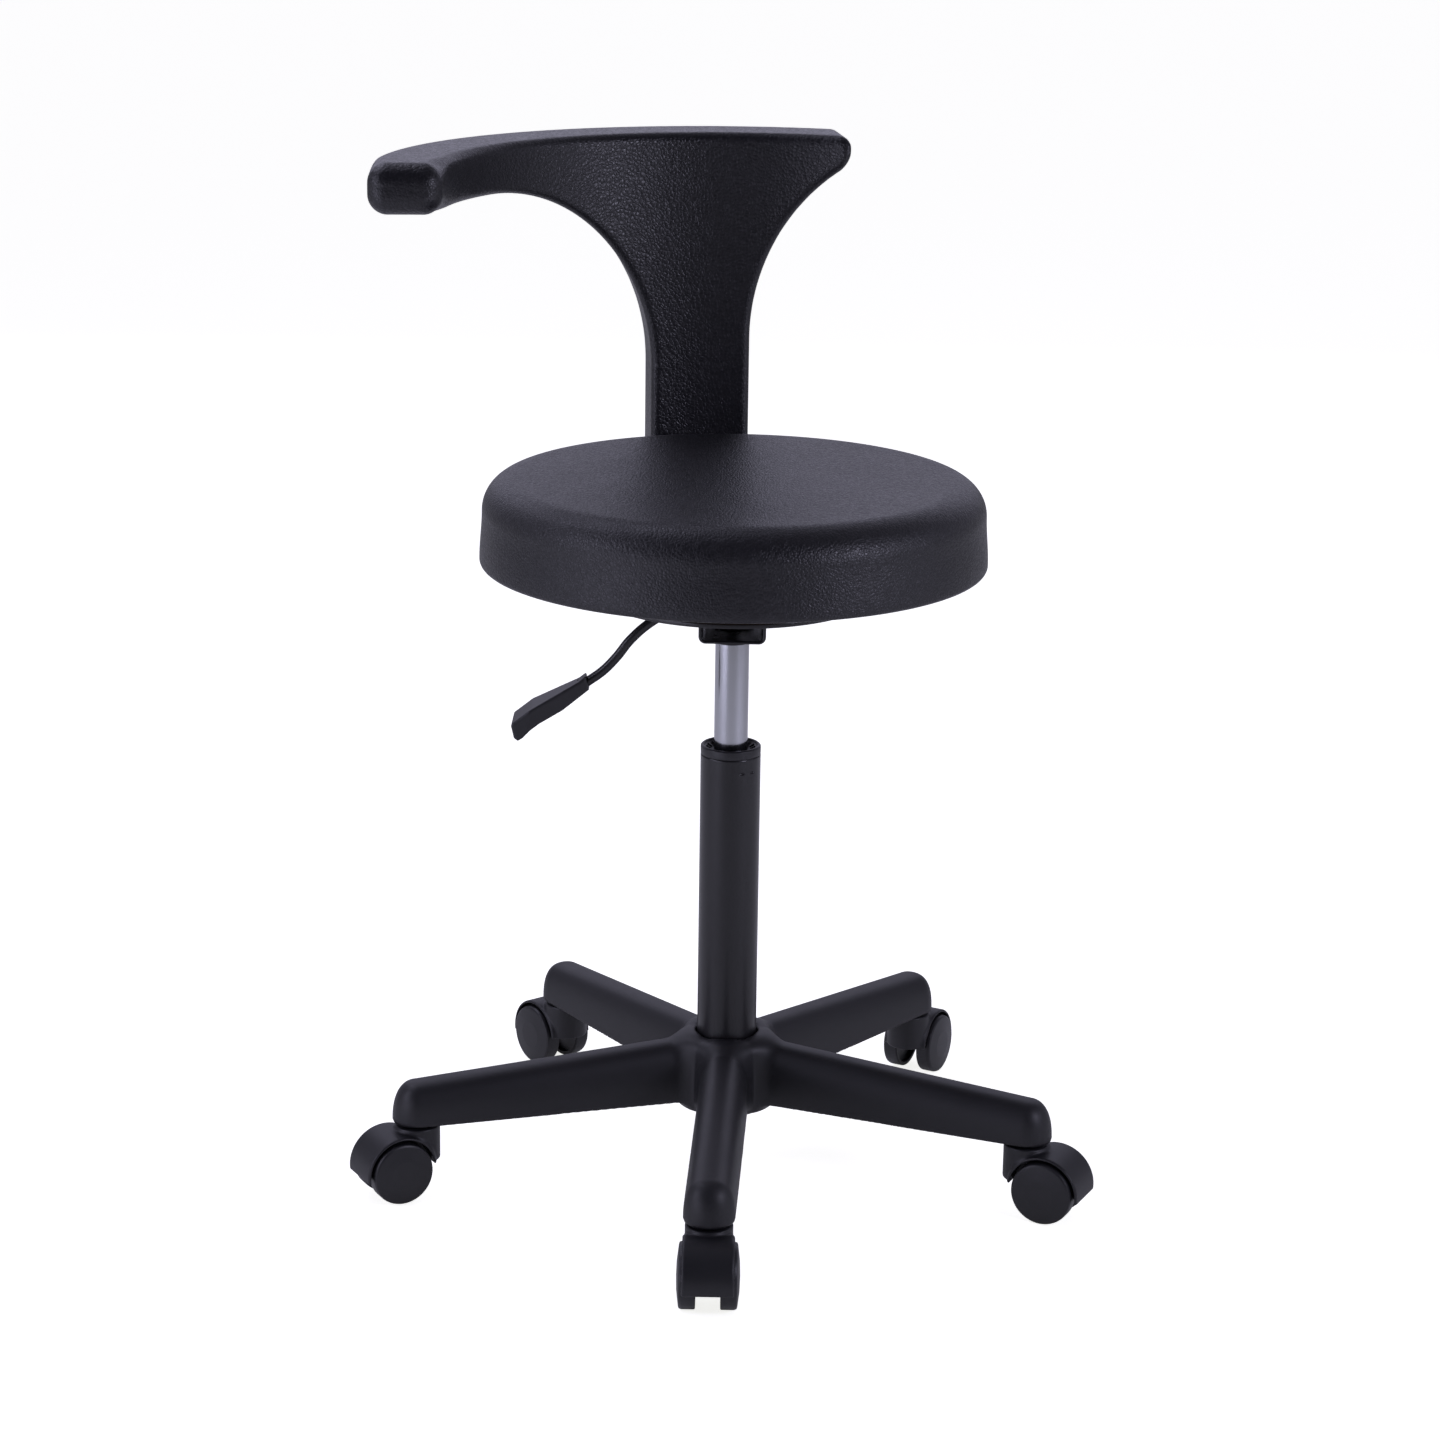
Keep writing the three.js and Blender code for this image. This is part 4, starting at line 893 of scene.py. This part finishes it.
def bent_rod(name, route, radius, finish, sides=32):
    """A round rod along a route in the plane y = 0, with its ends slightly rounded."""
    line = [np.array((x, 0, LEVER_HEIGHT + rise)) for x, rise in through(route, 9)]
    rings = []
    for i, centre in enumerate(line):
        ahead = line[min(i + 1, len(line) - 1)] - line[max(i - 1, 0)]
        rings.append((centre, ahead / span(*ahead), radius))
    first, last = rings[0], rings[-1]
    tip = radius * 0.8
    rings[:1] = [(first[0], first[1], tip), (first[0] + first[1] * (radius - tip), first[1], radius)]
    rings[-1] = (last[0] - last[1] * (radius - tip), last[1], radius)
    rings.append((last[0], last[1], tip))
    points, faces = [], []
    aside = np.array((0, 1, 0))
    for centre, ahead, r in rings:
        up = np.cross(ahead, aside)
        for k in range(sides):
            turn = 2 * math.pi * k / sides
            points.append(centre + r * (math.cos(turn) * aside + math.sin(turn) * up))
    for i in range(len(rings) - 1):
        for k in range(sides):
            m = (k + 1) % sides
            faces.append((i * sides + k, i * sides + m, (i + 1) * sides + m, (i + 1) * sides + k))
    faces.append(tuple(reversed(range(sides))))
    faces.append(tuple(range((len(rings) - 1) * sides, len(rings) * sides)))
    return sharpened(faced_out(mesh_piece(name, points, faces, finish)), 45)


rod = bent_rod("lever_rod_bent", LEVER_ROUTE, 4.0, STEEL_ENAMEL)
stands_for(rod, "lever", "black_steel", "lever_rod")

# ------------------------------------------------------------------ under the seat
plate_low, plate_high = low_of("swing_plate"), high_of("swing_plate")
rim, sheet = float(plate_high[0]), 2.5
BEARING = 45.8
bore = BEARING + 0.3
stands_for(turned("swing_plate_pressed", [
    (bore, plate_high[2] - sheet, 0.3), (rim - sheet, plate_high[2] - sheet, 0.6),
    (rim - sheet, plate_low[2], 0.4), (rim, plate_low[2], 0.6), (rim, plate_high[2], 1.3),
    (bore, plate_high[2], 0.3),
], STEEL_ENAMEL, 192), "backrest", "black_steel", "swing_plate")

hub_low, hub_high = low_of("swing_hub"), high_of("swing_hub")
flange, flange_foot, flange_top = float(hub_high[0]), hub_low[2] + 6.4, hub_low[2] + 9.9
stands_for(turned("swing_hub_cast", [
    (22.0, hub_low[2], 0.5), (BEARING, hub_low[2], 0.6), (BEARING, flange_foot, 0.3),
    (flange, flange_foot, 0.5), (flange, flange_top, 1.2), (BEARING, flange_top, 2.0),
    (BEARING, hub_high[2], 0.6), (22.0, hub_high[2], 0.5),
], CAST_ALUMINIUM, 128), "seat", "cast_aluminium", "swing_hub")

# ------------------------------------------------------------------ seat
seat_low, seat_high = low_of("seat_cushion"), high_of("seat_cushion")
SEAT_TOP, SEAT_FOOT = float(seat_high[2]), float(seat_low[2])
board_low, board_high = low_of("seat_board"), high_of("seat_board")
BOARD_RADIUS = float(board_high[0])
# The seat's edge: a rounded foot, a side that leans in a little and a round shoulder.
SEAT_RADIUS, SEAT_LEAN, SHOULDER = float(seat_high[0]), 2.2, 26.8
EDGE_ROUND = 4
SEAT_DISH = 2.0


def seat():
    """The round seat: nearly upright side, a full round edge and a slightly dished top."""
    profile = [(0, board_high[2] + 0.3), (BOARD_RADIUS * 0.5, board_high[2] + 0.3)]
    profile += [(BOARD_RADIUS + 0.3, board_high[2] + 0.3), (BOARD_RADIUS + 0.3, SEAT_FOOT + 1.2)]
    profile += [(BOARD_RADIUS + 0.8, SEAT_FOOT + 0.3), (BOARD_RADIUS + 1.8, SEAT_FOOT)]
    profile += [(r, SEAT_FOOT) for r in (182, 192, 200)]
    profile += [
        (SEAT_RADIUS - EDGE_ROUND * (1 - math.sin(t)), SEAT_FOOT + EDGE_ROUND * (1 - math.cos(t)))
        for t in np.linspace(0, math.pi / 2, 7)
    ]
    profile += [
        (SEAT_RADIUS - SEAT_LEAN * ramp(s, 0, 1), SEAT_FOOT + EDGE_ROUND + 40 * s)
        for s in np.linspace(0.1, 0.9, 9)
    ]
    edge = SEAT_RADIUS - SEAT_LEAN
    profile += [
        (edge - SHOULDER * (1 - math.cos(t)), SEAT_TOP - SHOULDER * (1 - math.sin(t)))
        for t in np.linspace(0, math.pi / 2, 22)
    ]
    profile += [
        (r, SEAT_TOP - SEAT_DISH * (1 - (r / (edge - SHOULDER)) ** 2))
        for r in np.linspace(172, 8, 26)
    ]
    profile += [(0, SEAT_TOP - SEAT_DISH)]
    points, faces = revolved(profile, 224, False)
    return sharpened(mesh_piece("seat_cushion_skinned", points, faces, SEAT_SKIN), 60)


cushion = stands_for(seat(), "seat", "skin", "seat_cushion")
recess = BEARING + 1.0
stands_for(turned("seat_board_ply", [
    (0, hub_high[2] + 0.3, 0), (recess, hub_high[2] + 0.3, 0.2), (recess, board_low[2], 0.3),
    (BOARD_RADIUS, board_low[2], 1.2), (BOARD_RADIUS, board_high[2], 1.0),
    (0, board_high[2], 0),
], PLYWOOD, 160, closed=False), "seat", "wood", "seat_board")

# ------------------------------------------------------------------ backrest pad
STEM_DIRECTION = math.radians(97.8)
ARM_END = math.radians(184.5)
pad_low, pad_high = low_of("backrest_pad"), high_of("backrest_pad")
PAD_FOOT, PAD_TOP = float(pad_low[2]), float(pad_high[2])
PAD_CIRCLE, PAD_HALF = 265.0, 30.0
WING_REACH = 124
SLOT_TOP = 740.3
# The hollows beside the stem: an ellipse on the arm's side, a circle on the wing's side.
LEFT_ACROSS, LEFT_HEIGHT, LEFT_WIDE, LEFT_HIGH = -190, 645.5, 147, 163
RIGHT_ACROSS, RIGHT_HEIGHT, RIGHT_RADIUS = 230, 672, 187


def pad_distance(p):
    """The backrest: a stem that sweeps out to a wing and an arm, cut from a ring about the column."""
    x, y, z = p.T
    sine, cosine = math.sin(STEM_DIRECTION), math.cos(STEM_DIRECTION)
    across = x * sine - y * cosine
    outward = x * cosine + y * sine
    ring = np.abs(span(x, y) - PAD_CIRCLE) - PAD_HALF
    end = y * math.cos(ARM_END) - x * math.sin(ARM_END)
    near_tip = np.where((x < 0), 1 - ramp(-end, 10, 60), 0.0)
    plan = overlap(ring, np.where(x < 0, end, -300.0), 15.0)

    left_x, left_z = np.maximum(across - LEFT_ACROSS, 0), np.maximum(z - LEFT_HEIGHT, 0)
    norm = np.maximum(span(left_x / LEFT_WIDE, left_z / LEFT_HIGH), 1e-3)
    steep = span(left_x / LEFT_WIDE**2, left_z / LEFT_HIGH**2) / norm
    left_void = (norm - 1) / np.maximum(steep, 1 / LEFT_HIGH)
    right_x, right_z = np.maximum(RIGHT_ACROSS - across, 0), np.maximum(z - RIGHT_HEIGHT, 0)
    right_void = span(right_x, right_z) - RIGHT_RADIUS
    wing = overlap(overlap(across - WING_REACH, -right_void, 9.0), z - PAD_TOP, 10.0)
    outline = overlap(overlap(wing, -left_void, 1.0), PAD_FOOT - z, 6.0)
    pad = overlap(plan, outline, 7.5 + 9.0 * near_tip)
    slot = np.maximum(np.abs(across) - 25.3, np.abs(outward - PAD_CIRCLE) - 4.3)
    return less(pad, np.maximum(slot, z - SLOT_TOP), 0.4)


pad_skin = skin_of(pad_distance, pad_low - 6, pad_high + 6, 2.5)
pad = mesh_piece("backrest_pad_skinned", *pad_skin, PAD_SKIN)
stands_for(pad, "backrest", "skin", "backrest_pad")

# ------------------------------------------------------------------ CAD nodes that stay
KEPT = {
    "bearing_washer_lower": ZINC, "bearing_cage": CAST_ALUMINIUM, "bearing_washer_upper": ZINC,
    "rubber_buffer": RUBBER, "piston_rod": CYLINDER_STEEL, "piston": ZINC, "retaining_clip": ZINC,
    "release_button": ZINC, "taper_socket": STEEL_ENAMEL, "mounting_plate": STEEL_ENAMEL,
    "swing_washer_lower": WHITE_NYLON, "swing_washer_upper": WHITE_NYLON,
    "backrest_bar": STEEL_ENAMEL, "backrest_bolt_1": ZINC, "backrest_bolt_2": ZINC,
    "seat_bolt_1": ZINC, "seat_bolt_2": ZINC, "seat_bolt_3": ZINC, "seat_bolt_4": ZINC,
    "lever_bush": WHITE_NYLON, **{f"castor_axle_{n}": ZINC for n in CASTORS},
}
for name, finish in KEPT.items():
    node = frame["nodes"][name]
    node.data.materials.clear()
    node.data.materials.append(finish)

# ------------------------------------------------------------------ floor, light and camera
floor_paint = Paint("pale_floor", Roughness=0.6, Emission_Strength=1.0)
seen_directly = floor_paint.node("LightPath", {}, [], "Is Camera Ray")
floor_paint.colour(seen_directly, (0.12, 0.12, 0.1164), (0.84, 0.84, 0.8148), "Emission Color")
floor_paint.colour(floor_paint.noise(300, 3), (0.90, 0.90, 0.905), (0.92, 0.92, 0.925))
FLOOR_HALF = 30000
floor_corners = [
    (FLOOR_HALF * i, FLOOR_HALF * j, 0) for i, j in ((-1, -1), (1, -1), (1, 1), (-1, 1))
]
floor = mesh_piece("floor", floor_corners, [(0, 1, 2, 3)], floor_paint.material, smooth=False)

# The studio's own light is brighter at the back than at the front. The camera sees it pale.
world = bpy.data.worlds.new("studio")
bpy.context.scene.world = world
world.use_nodes = True
sky = world.node_tree
background = sky.nodes["Background"]
background.inputs["Color"].default_value = (0.90, 0.88, 1.10, 1)
direction = sky.nodes.new("ShaderNodeTexCoord")
parts = sky.nodes.new("ShaderNodeSeparateXYZ")
sky.links.new(direction.outputs["Generated"], parts.inputs[0])
glow = sky.nodes.new("ShaderNodeMapRange")
glow.interpolation_type = "SMOOTHSTEP"
for socket, value in (("From Min", -0.7), ("From Max", 0.8), ("To Min", 0.022), ("To Max", 0.30)):
    glow.inputs[socket].default_value = value
sky.links.new(parts.outputs["Y"], glow.inputs["Value"])
seen = sky.nodes.new("ShaderNodeLightPath")
shown = sky.nodes.new("ShaderNodeMath")
shown.operation = "MAXIMUM"
sky.links.new(seen.outputs["Is Camera Ray"], shown.inputs[0])
sky.links.new(glow.outputs[0], shown.inputs[1])
sky.links.new(shown.outputs[0], background.inputs["Strength"])

STUDIO_TINT = (0.90, 0.88, 1.14)


def softbox(name, place, aim, width, height, power):
    """A soft rectangular light at a place in metres, aimed at a point, its power in watts."""
    light = bpy.data.lights.new(name, "AREA")
    light.shape = "RECTANGLE"
    light.size, light.size_y = width, height
    light.energy = power
    light.color = STUDIO_TINT
    lamp = bpy.data.objects.new(name, light)
    bpy.context.scene.collection.objects.link(lamp)
    lamp.location = place
    lamp.rotation_euler = (Vector(aim) - Vector(place)).to_track_quat("-Z", "Y").to_euler()
    lamp.visible_camera = False


softbox("back_light", (0.0, 3.4, 1.9), (0, 0, 0.5), 5.0, 2.0, 17)
softbox("top_light", (-1.2, 0.8, 2.5), (0, 0, 0.6), 1.6, 1.2, 12)
softbox("left_light", (-2.4, -0.9, 1.5), (0, 0, 0.6), 0.6, 1.6, 15)
softbox("right_light", (2.5, -0.2, 1.2), (0, 0, 0.4), 0.5, 1.4, 3)
softbox("key_light", (1.65, -1.2, 1.05), (0, 0.15, 0.7), 0.4, 0.6, 11)
softbox("low_light", (-1.9, -1.7, 0.35), (0, 0, 0.1), 1.4, 0.5, 7)

# The camera stands in front, a little above the backrest. Angles in radians, lengths in metres.
CAMERA_PLACE = (0.006687, -2.797294, 1.1885)
PITCH, ROLL, YAW = 0.2769, 0.0141, -0.0057
camera_data = bpy.data.cameras.new("camera")
camera_data.sensor_width = 36.0
camera_data.lens = 87.767
camera_data.clip_end = 100.0
camera = bpy.data.objects.new("camera", camera_data)
bpy.context.scene.collection.objects.link(camera)
level = Vector((math.sin(YAW), math.cos(YAW), 0))
ahead = math.cos(PITCH) * level - math.sin(PITCH) * Vector((0, 0, 1))
side = Vector((math.cos(YAW), -math.sin(YAW), 0))
up = side.cross(ahead)
tilted_side = math.cos(ROLL) * side + math.sin(ROLL) * up
tilted_up = math.cos(ROLL) * up - math.sin(ROLL) * side
turned_about = Matrix((tilted_side, tilted_up, -ahead)).transposed().to_4x4()
camera.matrix_world = Matrix.Translation(CAMERA_PLACE) @ turned_about
bpy.context.scene.camera = camera
bpy.context.scene.view_settings.view_transform = "Standard"
bpy.context.scene.view_settings.look = "None"
